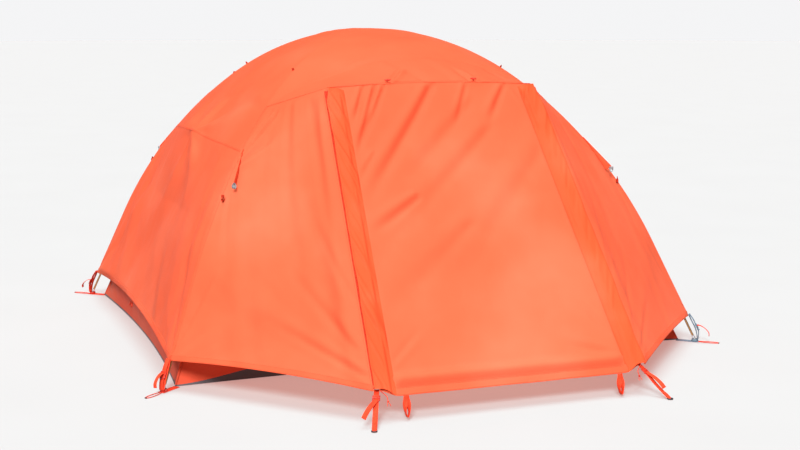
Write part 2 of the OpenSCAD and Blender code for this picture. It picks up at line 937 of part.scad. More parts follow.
module vestibule_buckles() {
    color(dark_colour) all_quarters() on_strap() translate([6, 0, 0]) ladder_lock(22);
}

ring_h = 5;

module strap() {
    difference() {
        union() {
            difference() {
                on_strap()
                    translate([-8, -strap_w / 2, -strap_t / 2])
                        cube([strap_len + 8 - ring_gap, strap_w, strap_t]);
                translate([stake_x - 60, stake_y - 60, -20]) cube([120, 120, 20]);
            }
            translate([stake_x, stake_y, 0]) cylinder(d = stake_hole_d + 11, h = ring_h);
        }
        translate([stake_x, stake_y, -20]) cylinder(d = stake_hole_d, h = 60);
    }
}

module strap_near_left() { color(fly_colour) quarter(-1, -1) strap(); }
module strap_near_right() { color(fly_colour) quarter(1, -1) strap(); }
module strap_far_left() { color(fly_colour) quarter(-1, 1) strap(); }
module strap_far_right() { color(fly_colour) strap(); }

module webbing_tails() {
    color(fly_colour)
        all_quarters() {
            on_strap() translate([8, -strap_w / 2, buckle_t / 2 + 1]) rotate([0, -12, 0])
                translate([0, 0, 0.4]) cube([100, strap_w, strap_t - 0.3]);
            on_leg(1996, corner_strap_off + 5, leg_top)
                translate([0, -strap_w / 2, 0]) rotate([0, -38, 0]) cube([70, strap_w, strap_t]);
        }
}

// --- doors ---------------------------------------------------------------------------------

door_edge = 6.5;
door_start = 6;

module fly_door() {
    top_w = door_top_x - door_edge / cos(zip_lean);
    foot_w = door_foot_x - door_edge / cos(zip_lean);
    on_door()
        translate([0, 0, -fly_t])
            linear_extrude(fly_t)
                polygon([
                    [-top_w, -door_start], [top_w, -door_start],
                    [foot_w, -door_len], [-foot_w, -door_len]
                ]);
}

module fly_door_near() {
    color(fly_colour) mirror([0, 1, 0]) fly_door();
}

module fly_door_far() {
    color(fly_colour) fly_door();
}

flap_over = 12;
flap_lift = 9;
flap_t = 1.5;

module storm_flap() {
    on_zip()
        translate([0, -10, 0]) rotate([90, 0, 0])
            linear_extrude(zip_len - 12)
                polygon([
                    [flap_over - flap_w, 0.4], [flap_over - flap_w + 3, 0.4],
                    [flap_over - flap_w + 3, flap_lift], [flap_over, flap_lift],
                    [flap_over, flap_lift + flap_t], [flap_over - flap_w, flap_lift + flap_t]
                ]);
}

module storm_flaps_near() {
    color(deep_colour)
        for (side = [-1, 1])
            quarter(side, -1) storm_flap();
}

module storm_flaps_far() {
    color(deep_colour)
        for (side = [-1, 1])
            quarter(side, 1) storm_flap();
}

loop_inset = 92;
door_loop_len = 74;

module door_loop() {
    translate([door_foot_x - loop_inset, door_foot_y + 3, door_foot_z - 4])
        rotate([12, 0, 0]) webbing_loop(20, door_loop_len, 1);
}

module door_loops_near() {
    color(fly_colour)
        for (side = [-1, 1])
            quarter(side, -1) door_loop();
}

module door_loops_far() {
    color(fly_colour)
        for (side = [-1, 1])
            quarter(side, 1) door_loop();
}

slider_l = 24;
slider_rest = zip_stop - 6;

module slider() {
    on_zip()
        translate([0, -slider_rest + slider_l, 0]) rotate([90, 0, 0])
            linear_extrude(slider_l)
                polygon([
                    [-5.5, -4.5], [5.5, -4.5], [5.5, -1.1], [3.6, -1.1], [3.6, -2], [0.1, -2],
                    [0.1, 2], [3.6, 2], [3.6, 1.1], [5.5, 1.1], [5.5, 4.5], [2, 4.5], [2, 7],
                    [-2, 7], [-2, 4.5], [-5.5, 4.5]
                ]);
}

module slider_near_left() { color(dark_colour) quarter(-1, -1) slider(); }
module slider_near_right() { color(dark_colour) quarter(1, -1) slider(); }
module slider_far_left() { color(dark_colour) quarter(-1, 1) slider(); }
module slider_far_right() { color(dark_colour) slider(); }

// The pull cord lies down the zip from its slider: [across, down, out] from the slider's foot
pull_d = 2.8;
pull_route = [
    [0, 0.2, 5.2], [0, 4, 5.2], [0, 8, 5.1], [0, 12, 5], [0.2, 16, 4.9], [0.5, 20, 4.7],
    [0.9, 24, 4.5], [1.3, 28, 4.3], [1.7, 32, 4.1], [2, 36, 3.9], [2.2, 40, 3.8],
    [2.3, 44, 3.7], [2.2, 48, 3.6], [2, 52, 3.6], [1.7, 56, 3.5]
];

module pull() {
    on_zip()
        cord([for (p = pull_route) [p.x, -slider_rest - p.y, p.z]], pull_d / 2, 8);
}

module pull_near_left() { color(deep_colour) quarter(-1, -1) pull(); }
module pull_near_right() { color(deep_colour) quarter(1, -1) pull(); }
module pull_far_left() { color(deep_colour) quarter(-1, 1) pull(); }
module pull_far_right() { color(deep_colour) pull(); }

main_pole_a();
main_pole_b();
brow_pole();
pole_ferrules();
pole_tips();
shock_cords();
crossing_hub();
pole_clips();
clip_straps();
floor_sheet();
floor_walls();
inner_end_left();
inner_end_right();
inner_roof();
inner_wall_near();
inner_wall_far();
inner_door_near();
inner_door_far();
inner_zips();
fly_roof();
fly_end_left();
fly_end_right();
fly_side_near_left();
fly_side_near_right();
fly_side_far_left();
fly_side_far_right();
fly_zips();
guyout_fins();
reflective_loops();
side_loops();
brow_toggles();
fly_pole_ties();
corner_tabs();
corner_buckles();
corner_straps();
webbing_tails();
stake_cord_near_left();
stake_cord_near_right();
stake_cord_far_left();
stake_cord_far_right();
vestibule_buckles();
strap_near_left();
strap_near_right();
strap_far_left();
strap_far_right();
fly_door_near();
fly_door_far();
storm_flaps_near();
storm_flaps_far();
door_loops_near();
door_loops_far();
slider_near_left();
slider_near_right();
slider_far_left();
slider_far_right();
pull_near_left();
pull_near_right();
pull_far_left();
pull_far_right();
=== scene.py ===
"""Looks of a two-door dome tent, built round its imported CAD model.

Lengths are in metres. Far is +Y, near is -Y and right is +X. Shapes are worked out in the far right
quarter, and mirrored into the others.
"""

import math

import bpy
import numpy as np
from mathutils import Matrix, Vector


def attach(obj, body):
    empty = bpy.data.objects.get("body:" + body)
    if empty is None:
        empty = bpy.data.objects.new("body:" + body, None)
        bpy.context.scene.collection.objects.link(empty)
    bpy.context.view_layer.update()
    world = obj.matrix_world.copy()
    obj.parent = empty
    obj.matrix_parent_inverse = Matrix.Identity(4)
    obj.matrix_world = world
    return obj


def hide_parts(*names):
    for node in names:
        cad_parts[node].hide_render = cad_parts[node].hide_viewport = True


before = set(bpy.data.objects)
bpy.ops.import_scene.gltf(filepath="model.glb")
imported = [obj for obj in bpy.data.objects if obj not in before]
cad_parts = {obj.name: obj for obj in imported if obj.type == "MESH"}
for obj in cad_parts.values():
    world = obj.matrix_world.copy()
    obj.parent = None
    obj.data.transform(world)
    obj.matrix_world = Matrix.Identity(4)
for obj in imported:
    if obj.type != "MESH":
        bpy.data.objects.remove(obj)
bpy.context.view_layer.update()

# --- sizes, as in the CAD source -------------------------------------------------------------

# A main pole bends in two arcs, with straight feet. Its runs are measured from the crown.
SECTION = 0.457
CROWN_R, SHOULDER_R = 1.176, 1.787
CROWN_RUN, SHOULDER_RUN = 1.5 * SECTION, 3.5 * SECTION
CROWN_TURN = CROWN_RUN / CROWN_R
SHOULDER_TURN = CROWN_TURN + (SHOULDER_RUN - CROWN_RUN) / SHOULDER_R
PLAN = np.array([1.120, 0.940]) / math.hypot(1.120, 0.940)
LOWER_TOP, UPPER_TOP = 1.262, 1.2716
TIP_END_Z = 0.0095
POLE_D = 0.0089

FLY_TOP, FLY_OFF = 1.290, 0.012
LEG_TOP = FLY_TOP - FLY_OFF
RUN_HIP, RUN_SEAM, RUN_BELLY, RUN_HEM = 0.860, 1.093, 1.420, 1.946
BROW_SEAM_Z = 1.090
DOOR_TOP = np.array([0.423, 0.746, 1.077])
DOOR_FOOT = np.array([0.500, 1.540, 0.103])
DOOR_LEN = math.hypot(DOOR_FOOT[1] - DOOR_TOP[1], DOOR_TOP[2] - DOOR_FOOT[2])
DOOR_TILT = math.atan2(DOOR_TOP[2] - DOOR_FOOT[2], DOOR_FOOT[1] - DOOR_TOP[1])
ZIP_LEAN = math.atan2(DOOR_FOOT[0] - DOOR_TOP[0], DOOR_LEN)
ZIP_LEN = math.hypot(DOOR_FOOT[0] - DOOR_TOP[0], DOOR_LEN)
ZIP_TAPE = 0.017
SLIDER_REST = ZIP_LEN - 0.014

FLOOR_X, FLOOR_Y = 2.130, 1.770
END_SAG, SIDE_SAG = 0.040, 0.025
TUB_H = 0.110
CANOPY_GAP = 0.060
WALL_FOOT, WALL_CROWN = (0.858, 0.112), (0.400, 1.225)
STAKE = np.array([0.557, 1.656, -0.001])
STRAP_HEAD = DOOR_FOOT + [0.008, -0.002, -0.012]

QUARTERS = {"near_left": (-1, -1), "near_right": (1, -1), "far_left": (-1, 1), "far_right": (1, 1)}
SIDES = {"near": -1, "far": 1}
ACROSS = np.array([1.0, 0.0, 0.0])
UP = np.array([0.0, 0.0, 1.0])
INSIDE = np.array([0.0, 0.0, 0.35])

# --- shared helpers --------------------------------------------------------------------------

LATTICE = np.random.default_rng(11).uniform(-1, 1, (64, 64))


def unit(v):
    v = np.asarray(v, float)
    return v / np.maximum(np.linalg.norm(v, axis=-1, keepdims=True), 1e-12)


def ease(x):
    """0 below 0, 1 above 1, and a smooth step between them."""
    x = np.clip(x, 0, 1)
    return x * x * (3 - 2 * x)


def bell(x):
    return np.exp(-x ** 2)


def span(n, low=0.0, high=1.0):
    return np.linspace(low, high, n + 1)


def noise(x, y):
    """Smooth noise from -1 to 1, which repeats every 64 units."""
    xi, yi = np.floor(x).astype(int), np.floor(y).astype(int)
    fx, fy = ease(x - xi), ease(y - yi)
    a, b = LATTICE[yi % 64, xi % 64], LATTICE[yi % 64, (xi + 1) % 64]
    c, d = LATTICE[(yi + 1) % 64, xi % 64], LATTICE[(yi + 1) % 64, (xi + 1) % 64]
    return (a * (1 - fx) + b * fx) * (1 - fy) + (c * (1 - fx) + d * fx) * fy


def ripples(a, b, way, across, along, seed):
    """Noise drawn out along a direction: way in degrees, and the size of a wave across and along it."""
    c, s = math.cos(math.radians(way)), math.sin(math.radians(way))
    return noise((a * -s + b * c) / across + seed, (a * c + b * s) / along + 2.7 * seed)


def fold(a, b, start, end, width, depth, fade=0.5):
    """A crease that widens from start to end, with a soft ridge beside it.

    fade is the share of its length that it dies away in.
    """
    s, e = np.array(start, float), np.array(end, float)
    length = math.hypot(*(e - s))
    d = (e - s) / length
    t = ((a - s[0]) * d[0] + (b - s[1]) * d[1]) / length
    x = ((b - s[1]) * d[0] - (a - s[0]) * d[1]) / (width * (0.6 + 0.8 * np.clip(t, 0, 1)))
    return depth * ease((t + 0.04) / 0.10) * ease((1 - t) / fade) * (0.7 * bell((x - 1.7) / 1.5) - bell(x))


def star(a, b, at, reach, depth, spokes, phase):
    """Creases that radiate from a point where the cloth is pulled out."""
    x, y = a - at[0], b - at[1]
    r = np.hypot(x, y) / reach
    near = bell(r / 0.22)
    spoke = (0.5 + 0.5 * np.cos(spokes * np.arctan2(y, x) + phase)) ** 3
    return depth * np.exp(-r * 1.6) * ((1 - near) * spoke + near)


def arch(run, off=0.0, top=LEG_TOP):
    """Point [out, up] of a main pole's curve in its own plane, moved outward by off."""
    run = np.asarray(run, float)[..., None]
    c1 = np.array([0, top - CROWN_R])
    turn = np.array([math.sin(CROWN_TURN), math.cos(CROWN_TURN)])
    c2 = c1 + (CROWN_R - SHOULDER_R) * turn
    out = np.array([math.sin(SHOULDER_TURN), math.cos(SHOULDER_TURN)])
    a1 = run / CROWN_R
    a2 = CROWN_TURN + (run - CROWN_RUN) / SHOULDER_R
    crown = c1 + (CROWN_R + off) * np.concatenate([np.sin(a1), np.cos(a1)], -1)
    shoulder = c2 + (SHOULDER_R + off) * np.concatenate([np.sin(a2), np.cos(a2)], -1)
    foot = c2 + (SHOULDER_R + off) * out + (run - SHOULDER_RUN) * np.array([out[1], -out[0]])
    return np.where(run <= CROWN_RUN, crown, np.where(run <= SHOULDER_RUN, shoulder, foot))


def run_at(z, top):
    """Run at which a pole's straight foot comes down to a height."""
    return SHOULDER_RUN + (arch(SHOULDER_RUN, 0, top)[1] - z) / math.sin(SHOULDER_TURN)


def pole_top(sign):
    """Height of the crown of the pole that stands in a quarter; one pole crosses over the other."""
    return UPPER_TOP if sign[0] * sign[1] > 0 else LOWER_TOP


def leg(run, off=FLY_OFF, top=LEG_TOP):
    p = arch(run, off, top)
    return np.stack([p[..., 0] * PLAN[0], p[..., 0] * PLAN[1], p[..., 1]], -1)


def leg_frame(run, off=FLY_OFF, top=LEG_TOP):
    """Origin and axes on a leg: X down it, Z out of it."""
    p, q = leg(run, off, top), leg(run - 0.001, off, top)
    x = unit(p - q)
    side = np.array([-PLAN[1], PLAN[0], 0.0])
    return p, x, side, np.cross(x, side)


def corner_frame(sign):
    """Origin at a pole's tip on the ground, then out along the pole's plan direction, then across it."""
    top = pole_top(sign)
    out = arch(run_at(TIP_END_Z, top), 0, top)[0]
    origin = np.array([out * PLAN[0], out * PLAN[1], 0.0])
    return origin, np.array([*PLAN, 0.0]), np.array([-PLAN[1], PLAN[0], 0.0])


LEAN_COS, LEAN_SIN = math.cos(ZIP_LEAN), math.sin(ZIP_LEAN)
TILT_COS, TILT_SIN = math.cos(DOOR_TILT), math.sin(DOOR_TILT)
ZIP_X = np.array([LEAN_COS, -LEAN_SIN * TILT_COS, LEAN_SIN * TILT_SIN])
ZIP_Y = np.array([-LEAN_SIN, -LEAN_COS * TILT_COS, LEAN_COS * TILT_SIN])
DOOR_DOWN = np.array([0, TILT_COS, -TILT_SIN])
DOOR_OUT = np.array([0, TILT_SIN, TILT_COS])


def zip_point(x, y, z):
    """x out from the door, y up the zip from its top, z out of the fly."""
    x, y, z = (np.asarray(k, float)[..., None] for k in (x, y, z))
    return DOOR_TOP + x * ZIP_X + y * ZIP_Y + z * DOOR_OUT


def door_point(x, down, out):
    x, down, out = (np.asarray(k, float)[..., None] for k in (x, down, out))
    return DOOR_TOP * [0, 1, 1] + x * ACROSS + down * DOOR_DOWN + out * DOOR_OUT


def quarter(points, sign):
    """Points of the far right quarter, mirrored into another."""
    return np.asarray(points, float) * [*sign, 1]


class Shape:
    """Collects points, faces and cloth coordinates for one mesh."""

    def __init__(self):
        self.points, self.uvs, self.faces, self.slots, self.count = [], [], [], [], 0

    def add(self, points, uvs, faces, slot=0):
        """faces is a list of arrays, each with a row of point numbers for each face."""
        self.points.append(np.asarray(points, float).reshape(-1, 3))
        self.uvs.append(np.asarray(uvs, float).reshape(-1, 2))
        self.faces += [f + self.count for f in faces]
        self.slots += [np.full(len(f), slot) for f in faces]
        self.count += len(self.points[-1])

    def grid(self, P, inside=None, uv=None, slot=0, wrap=False, capped=False):
        """A grid of points P[row, column], turned to face away from a point inside where one is given."""
        rows, cols = P.shape[:2]
        index = np.arange(rows * cols).reshape(rows, cols)
        caps = [index[:1, ::-1], index[-1:]] if capped else []
        if wrap:
            index = np.concatenate([index, index[:, :1]], 1)
        corners = [index[:-1, :-1], index[:-1, 1:], index[1:, 1:], index[1:, :-1]]
        faces = np.stack(corners, -1).reshape(-1, 4)
        if inside is not None:
            n = np.cross(P[1:, :-1] - P[:-1, :-1], P[:-1, 1:] - P[:-1, :-1])
            if (n * (P[:-1, :-1] - inside)).sum() > 0:
                faces = faces[:, ::-1]
        self.add(P, cloth_uv(P) if uv is None else uv, [faces, *caps], slot)

    def build(self, name, body, materials, surface, *replaced, weld=0.0):
        """Makes the piece, which rides on a body and stands for the CAD nodes that it replaces."""
        points, faces = np.concatenate(self.points), self.faces
        uvs = np.concatenate(self.uvs)[np.concatenate([f.ravel() for f in faces])]
        if weld:
            keys = np.round(points / weld).astype(np.int64)
            _, first, back = np.unique(keys, axis=0, return_index=True, return_inverse=True)
            points, faces = points[first], [back.ravel()[f] for f in faces]
        mesh = bpy.data.meshes.new(name)
        mesh.from_pydata(points.tolist(), [], [f for group in faces for f in group.tolist()])
        layer = mesh.uv_layers.new(name="cloth")
        layer.data.foreach_set("uv", uvs.astype(np.float32).ravel())
        mesh.polygons.foreach_set("material_index", np.concatenate(self.slots).astype(np.int32))
        mesh.polygons.foreach_set("use_smooth", np.full(len(mesh.polygons), True))
        for m in materials if isinstance(materials, list) else [materials]:
            mesh.materials.append(m)
        mesh.update()
        piece = bpy.data.objects.new(name, mesh)
        bpy.context.scene.collection.objects.link(piece)
        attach(piece, body)
        if replaced:
            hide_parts(*replaced)
        return piece


def run_lengths(path):
    """Distance along a path to each of its points."""
    return np.concatenate([[0], np.cumsum(np.linalg.norm(np.diff(path, axis=0), axis=-1))])


def at_runs(at, run, values):
    return np.stack([np.interp(at, run, values[:, i]) for i in range(3)], -1)


def cloth_uv(P):
    """Coordinates over a grid: along each row from its middle, and down the middle column."""
    step = np.linalg.norm(np.diff(P, axis=1), axis=-1)
    along = np.concatenate([np.zeros((len(P), 1)), np.cumsum(step, 1)], 1)
    along -= along[:, P.shape[1] // 2][:, None]
    down = run_lengths(P[:, P.shape[1] // 2])
    return np.stack([along, np.broadcast_to(down[:, None], along.shape)], -1)


def outward_normals(P):
    """Unit normals of a grid of points, turned away from the inside of the tent."""
    n = unit(np.cross(np.gradient(P, axis=0), np.gradient(P, axis=1)))
    return n if (n * (P - INSIDE)).sum() > 0 else -n


def path_frames(path, normal):
    """A path with its direction, its normal and its side at each point."""
    path = np.asarray(path, float)
    way = unit(np.gradient(path, axis=0))
    n = np.broadcast_to(np.asarray(normal, float), path.shape)
    n = unit(n - (n * way).sum(-1, keepdims=True) * way)
    return path, n, np.cross(way, n)


def sleeve(shape, path, P, around, slot):
    """A closed skin of rings P along a path. around holds each ring point's place across the cloth."""
    run = run_lengths(path)
    uv = [np.broadcast_to(around, P.shape[:2]), np.broadcast_to(run[:, None], P.shape[:2])]
    shape.grid(P, uv=np.stack(uv, -1), slot=slot, wrap=True, capped=True)


def ribbon(shape, path, normal, width, thickness, slot=0, bulge=0.25):
    """Webbing or a folded band along a path, with rounded edges and closed ends."""
    path, n, side = path_frames(path, normal)
    w, t = width / 2, thickness / 2
    near = w - t * 0.6
    section = np.array([
        (-w, 0), (-near, t * 0.85), (-w * 0.6, t), (0, t * (1 + bulge)), (w * 0.6, t), (near, t * 0.85),
        (w, 0), (near, -t * 0.85), (w * 0.6, -t), (0, -t), (-w * 0.6, -t), (-near, -t * 0.85)])
    P = path[:, None] + section[None, :, :1] * side[:, None] + section[None, :, 1:] * n[:, None]
    sleeve(shape, path, P, section[:, 0], slot)


def tube(shape, path, radius, sides=10, slot=0):
    path = np.asarray(path, float)
    way = unit(np.gradient(path, axis=0))
    side = unit(np.cross(way, [0.013, 0.021, 1.0]))
    up = np.cross(side, way)
    angle = np.arange(sides) * 2 * math.pi / sides
    ring = np.cos(angle)[None, :, None] * side[:, None] + np.sin(angle)[None, :, None] * up[:, None]
    radius = np.broadcast_to(np.asarray(radius, float), len(path))
    sleeve(shape, path, path[:, None] + radius[:, None, None] * ring, angle, slot)


def resample(path, gap):
    path = np.asarray(path, float)
    run = run_lengths(path)
    return at_runs(np.linspace(0, run[-1], max(2, int(run[-1] / gap) + 1)), run, path)


STITCH_FACES = np.array([[0, 1, 4, 3], [1, 2, 5, 4], [3, 4, 7, 6], [4, 5, 8, 7]])


def stitches(shape, path, normal, aside=0.0, pitch=0.0035, slot=0, radius=0.00035):
    """A row of machine stitches along a path, moved aside across it: each is a small arched ridge."""
    fine, n, side = path_frames(path, normal)
    line = fine + aside * side
    run = run_lengths(line)
    starts = np.arange(pitch / 2, run[-1] - pitch, pitch)
    a, b = at_runs(starts, run, line), at_runs(starts + 0.72 * pitch, run, line)
    m = unit(at_runs(starts, run, n))
    s = unit(np.cross(b - a, m))
    mid = (a + b) / 2 + m * radius
    points = []
    for centre, share in ((a, 0.6), (mid, 1.0), (b, 0.6)):
        points += [centre + s * radius * share, centre + m * radius * share, centre - s * radius * share]
    faces = (STITCH_FACES[None] + 9 * np.arange(len(starts))[:, None, None]).reshape(-1, 4)
    shape.add(np.stack(points, 1), np.zeros((9 * len(starts), 2)), [faces], slot)


def spline(points, per=4):
    """A smooth line through points."""
    p = np.asarray(points, float)
    p = np.concatenate([[2 * p[0] - p[1]], p, [2 * p[-1] - p[-2]]])
    t = (np.arange(per) / per)[:, None]
    out = []
    for a, b, c, d in zip(p[:-3], p[1:-2], p[2:-1], p[3:]):
        square, cube = 2 * a - 5 * b + 4 * c - d, 3 * b - a - 3 * c + d
        out.append(0.5 * (2 * b + (c - a) * t + square * t * t + cube * t ** 3))
    return np.concatenate([*out, p[-2:-1]])


def frame_path(at, axes, steps, per=6):
    """A smooth line through steps, each measured along three axes from a point."""
    return spline([at + a * axes[0] + b * axes[1] + c * axes[2] for a, b, c in steps], per)


# --- camera ----------------------------------------------------------------------------------

CAMERA_AT = (-1.991, -5.792, 1.367)
CAMERA_YAW, CAMERA_PITCH = 0.353, -0.154
CAMERA_LENS, CAMERA_SENSOR = 62.2, 36


def make_camera():
    data = bpy.data.cameras.new("camera")
    data.lens = CAMERA_LENS
    data.sensor_width = CAMERA_SENSOR
    data.dof.use_dof = False
    camera = bpy.data.objects.new("camera", data)
    camera.location = CAMERA_AT
    level = math.cos(CAMERA_PITCH)
    look = Vector((math.sin(CAMERA_YAW) * level, math.cos(CAMERA_YAW) * level, math.sin(CAMERA_PITCH)))
    camera.rotation_euler = look.to_track_quat("-Z", "Y").to_euler()
    bpy.context.scene.collection.objects.link(camera)
    bpy.context.scene.camera = camera


make_camera()

# --- materials -------------------------------------------------------------------------------

WHITE, BLACK = (1, 1, 1), (0, 0, 0)
WAVE_SCALE = 0.314159


class Nodes:
    """A material's node tree, with short ways to add and join nodes."""

    def __init__(self, name):
        self.material = bpy.data.materials.new(name)
        self.material.use_nodes = True
        self.tree = self.material.node_tree
        self.tree.nodes.clear()
        self.out = self.tree.nodes.new("ShaderNodeOutputMaterial")
        self.place = self.new("TexCoord").outputs["Object"]

    def new(self, kind, inputs=None, **settings):
        node = self.tree.nodes.new("ShaderNode" + kind)
        for key, value in settings.items():
            setattr(node, key, value)
        for key, value in (inputs or {}).items():
            self.feed(node.inputs[key], value)
        return node

    def feed(self, socket, value):
        if isinstance(value, bpy.types.NodeSocket):
            self.tree.links.new(value, socket)
        else:
            socket.default_value = value

    def uv(self):
        return self.new("UVMap", uv_map="cloth").outputs["UV"]

    def math(self, operation, a, b=0.0):
        node = self.new("Math", operation=operation)
        self.feed(node.inputs[0], a)
        self.feed(node.inputs[1], b)
        return node.outputs[0]

    def times(self, a, b):
        return self.math("MULTIPLY", a, b)

    def weigh(self, a, share_a, b, share_b):
        """The sum of two values, each times its share."""
        return self.math("ADD", self.times(a, share_a), self.times(b, share_b))

    def vary(self, base, by, share):
        """A base number, plus a share of a value that changes over the surface."""
        return self.math("ADD", base, self.times(by, share))

    def ramp(self, factor, stops):
        node = self.new("ValToRGB", {"Fac": factor})
        while len(node.color_ramp.elements) < len(stops):
            node.color_ramp.elements.new(0.5)
        for element, (place, colour) in zip(node.color_ramp.elements, stops):
            element.position = place
            element.color = (*colour, 1)
        return node.outputs["Color"]

    def noise(self, vector, scale, detail=2.0, rough=0.5):
        settings = {"Vector": vector, "Scale": scale, "Detail": detail, "Roughness": rough}
        return self.new("TexNoise", settings).outputs["Fac"]

    def wave(self, vector, period, direction="X"):
        """A sine band of that period, in the vector's own units."""
        settings = {"Vector": vector, "Scale": WAVE_SCALE / period, "Distortion": 0.0}
        return self.new("TexWave", settings, bands_direction=direction).outputs["Fac"]

    def bump(self, height, strength, distance, below=None):
        inputs = {"Height": height, "Strength": strength, "Distance": distance}
        if below is not None:
            inputs["Normal"] = below
        return self.new("Bump", inputs).outputs["Normal"]

    def coat(self, paint, roughness, normal, settings=None):
        inputs = {"Base Color": paint, "Roughness": roughness, "Normal": normal, **(settings or {})}
        return self.new("BsdfPrincipled", inputs)

    def mix(self, share, first, second):
        return self.new("MixShader", {0: share, 1: first.outputs[0], 2: second.outputs[0]})

    def finish(self, shader):
        self.tree.links.new(shader.outputs[0], self.out.inputs["Surface"])
        return self.material


def mixed(a, b, t):
    return tuple(x + (y - x) * t for x, y in zip(a, b))


def taffeta(name, colour, deep, glow, through=0.28, rough=0.5):
    """Coated ripstop: a fine weave with a raised grid, soft shade changes, and light coming through."""
    thread, rip = 0.0006, 0.005
    k = Nodes(name)
    uv = k.uv()
    fine = k.noise(uv, 900.0, 2.0)
    tone = k.weigh(k.noise(k.place, 2.2, 3.0), 0.75, fine, 0.25)
    pale = mixed(colour, (1, 0.6, 0.4), 0.10)
    paint = k.ramp(tone, [(0.25, mixed(colour, deep, 0.55)), (0.5, colour), (0.8, pale)])
    weave = k.weigh(k.wave(uv, thread, "X"), 0.35, k.wave(uv, thread, "Y"), 0.35)
    grid_x, grid_y = (k.math("POWER", k.wave(uv, rip, way), 14.0) for way in "XY")
    height = k.math("ADD", weave, k.math("MAXIMUM", grid_x, grid_y))
    crinkle = k.bump(k.noise(k.place, 38.0, 4.0, 0.6), 0.25, 0.002)
    bump = k.bump(height, 0.18, 0.0002, crinkle)
    dull = {"IOR": 1.45, "Specular IOR Level": 0.03}
    cloth = k.coat(paint, k.vary(rough - 0.08, fine, 0.16), bump, dull)
    if not through:
        return k.finish(cloth)
    light = k.new("BsdfTranslucent", {"Color": (*glow, 1), "Normal": crinkle})
    return k.finish(k.mix(through, cloth, light))


def webbing(name, colour, deep, rib=0.0011):
    """Narrow woven tape: a herringbone of ribs 5 mm wide, with painted shade in the grooves between them."""
    k = Nodes(name)
    parts = k.new("SeparateXYZ", {"Vector": k.uv()})
    lane = k.math("FRACT", k.times(parts.outputs[0], 200.0))
    across = k.math("ABSOLUTE", k.math("SUBTRACT", lane, 0.5))
    slant = k.math("ADD", k.times(across, 0.004), parts.outputs[1])
    ribs = k.wave(k.new("CombineXYZ", {"X": slant, "Y": 0.0}).outputs[0], rib, "X")
    edge = k.math("POWER", k.times(across, 2.0), 8.0)
    worn = k.noise(k.place, 60.0, 3.0)
    pale = mixed(colour, (1, 0.4, 0.2), 0.06)
    # The ramp paints shade into the grooves between the ribs and light onto the rib tops, mixed with random
    # wear.
    paint = k.ramp(k.weigh(ribs, 0.6, worn, 0.5), [(0.12, deep), (0.5, colour), (0.95, pale)])
    bump = k.bump(k.math("SUBTRACT", ribs, edge), 0.6, 0.0003)
    return k.finish(k.coat(paint, k.vary(0.55, worn, 0.2), bump, {"Specular IOR Level": 0.06}))


def braid(name, colour, deep, fleck=None):
    """Round braided cord: painted shade in the plait's grooves and a lighter tone on its crests, in the
    fleck colour where one is given.
    """
    k = Nodes(name)
    parts = k.new("SeparateXYZ", {"Vector": k.uv()})
    turn, run = k.times(parts.outputs[0], 4.0), k.times(parts.outputs[1], 1900.0)
    left, right = (k.math("SINE", k.math(way, turn, run)) for way in ("ADD", "SUBTRACT"))
    plait = k.math("MAXIMUM", left, right)
    worn = k.noise(k.place, 90.0, 2.0)
    stops = [(0.1, deep), (0.45, colour), (0.62, fleck or mixed(colour, WHITE, 0.1))]
    # The ramp paints shade into the plait's grooves and light onto its crests, mixed with random wear.
    paint = k.ramp(k.weigh(plait, 0.25, worn, 0.6), stops)
    bump = k.bump(plait, 0.5, 0.0003)
    return k.finish(k.coat(paint, k.vary(0.5, worn, 0.25), bump, {"Specular IOR Level": 0.08}))


def moulded(name, colour, rough=0.42):
    """Injection-moulded plastic with a fine spark texture."""
    k = Nodes(name)
    wear = k.noise(k.place, 45.0, 4.0)
    stops = [(0.3, mixed(colour, BLACK, 0.25)), (0.6, colour), (0.85, mixed(colour, WHITE, 0.06))]
    bump = k.bump(k.noise(k.place, 1600.0, 2.0), 0.25, 0.0001)
    settings = {"IOR": 1.5, "Specular IOR Level": 0.2}
    return k.finish(k.coat(k.ramp(wear, stops), k.vary(rough - 0.08, wear, 0.2), bump, settings))


def anodised(name, colour, rough=0.3):
    """Drawn aluminium tube: a fine grain and a few scuffs."""
    k = Nodes(name)
    scuff = k.noise(k.place, 25.0, 5.0, 0.7)
    stops = [(0.3, mixed(colour, BLACK, 0.18)), (0.55, colour), (0.8, mixed(colour, WHITE, 0.18))]
    bump = k.bump(k.noise(k.place, 700.0, 1.0), 0.12, 0.00008)
    return k.finish(k.coat(k.ramp(scuff, stops), k.vary(rough - 0.06, scuff, 0.22), bump, {"Metallic": 1.0}))


def netting(name, colour, open_share=0.5):
    """Insect mesh: a fine net that half shows what is behind it."""
    k = Nodes(name)
    cell = {"Vector": k.uv(), "Scale": 620.0}
    cells = k.new("TexVoronoi", cell, feature="DISTANCE_TO_EDGE").outputs["Distance"]
    paint = k.ramp(k.noise(k.place, 6.0, 2.0), [(0.3, mixed(colour, BLACK, 0.12)), (0.7, colour)])
    thread = k.coat(paint, 0.7, k.bump(cells, 0.3, 0.0002), {"Sheen Weight": 0.1})
    return k.finish(k.mix(open_share, thread, k.new("BsdfTransparent")))


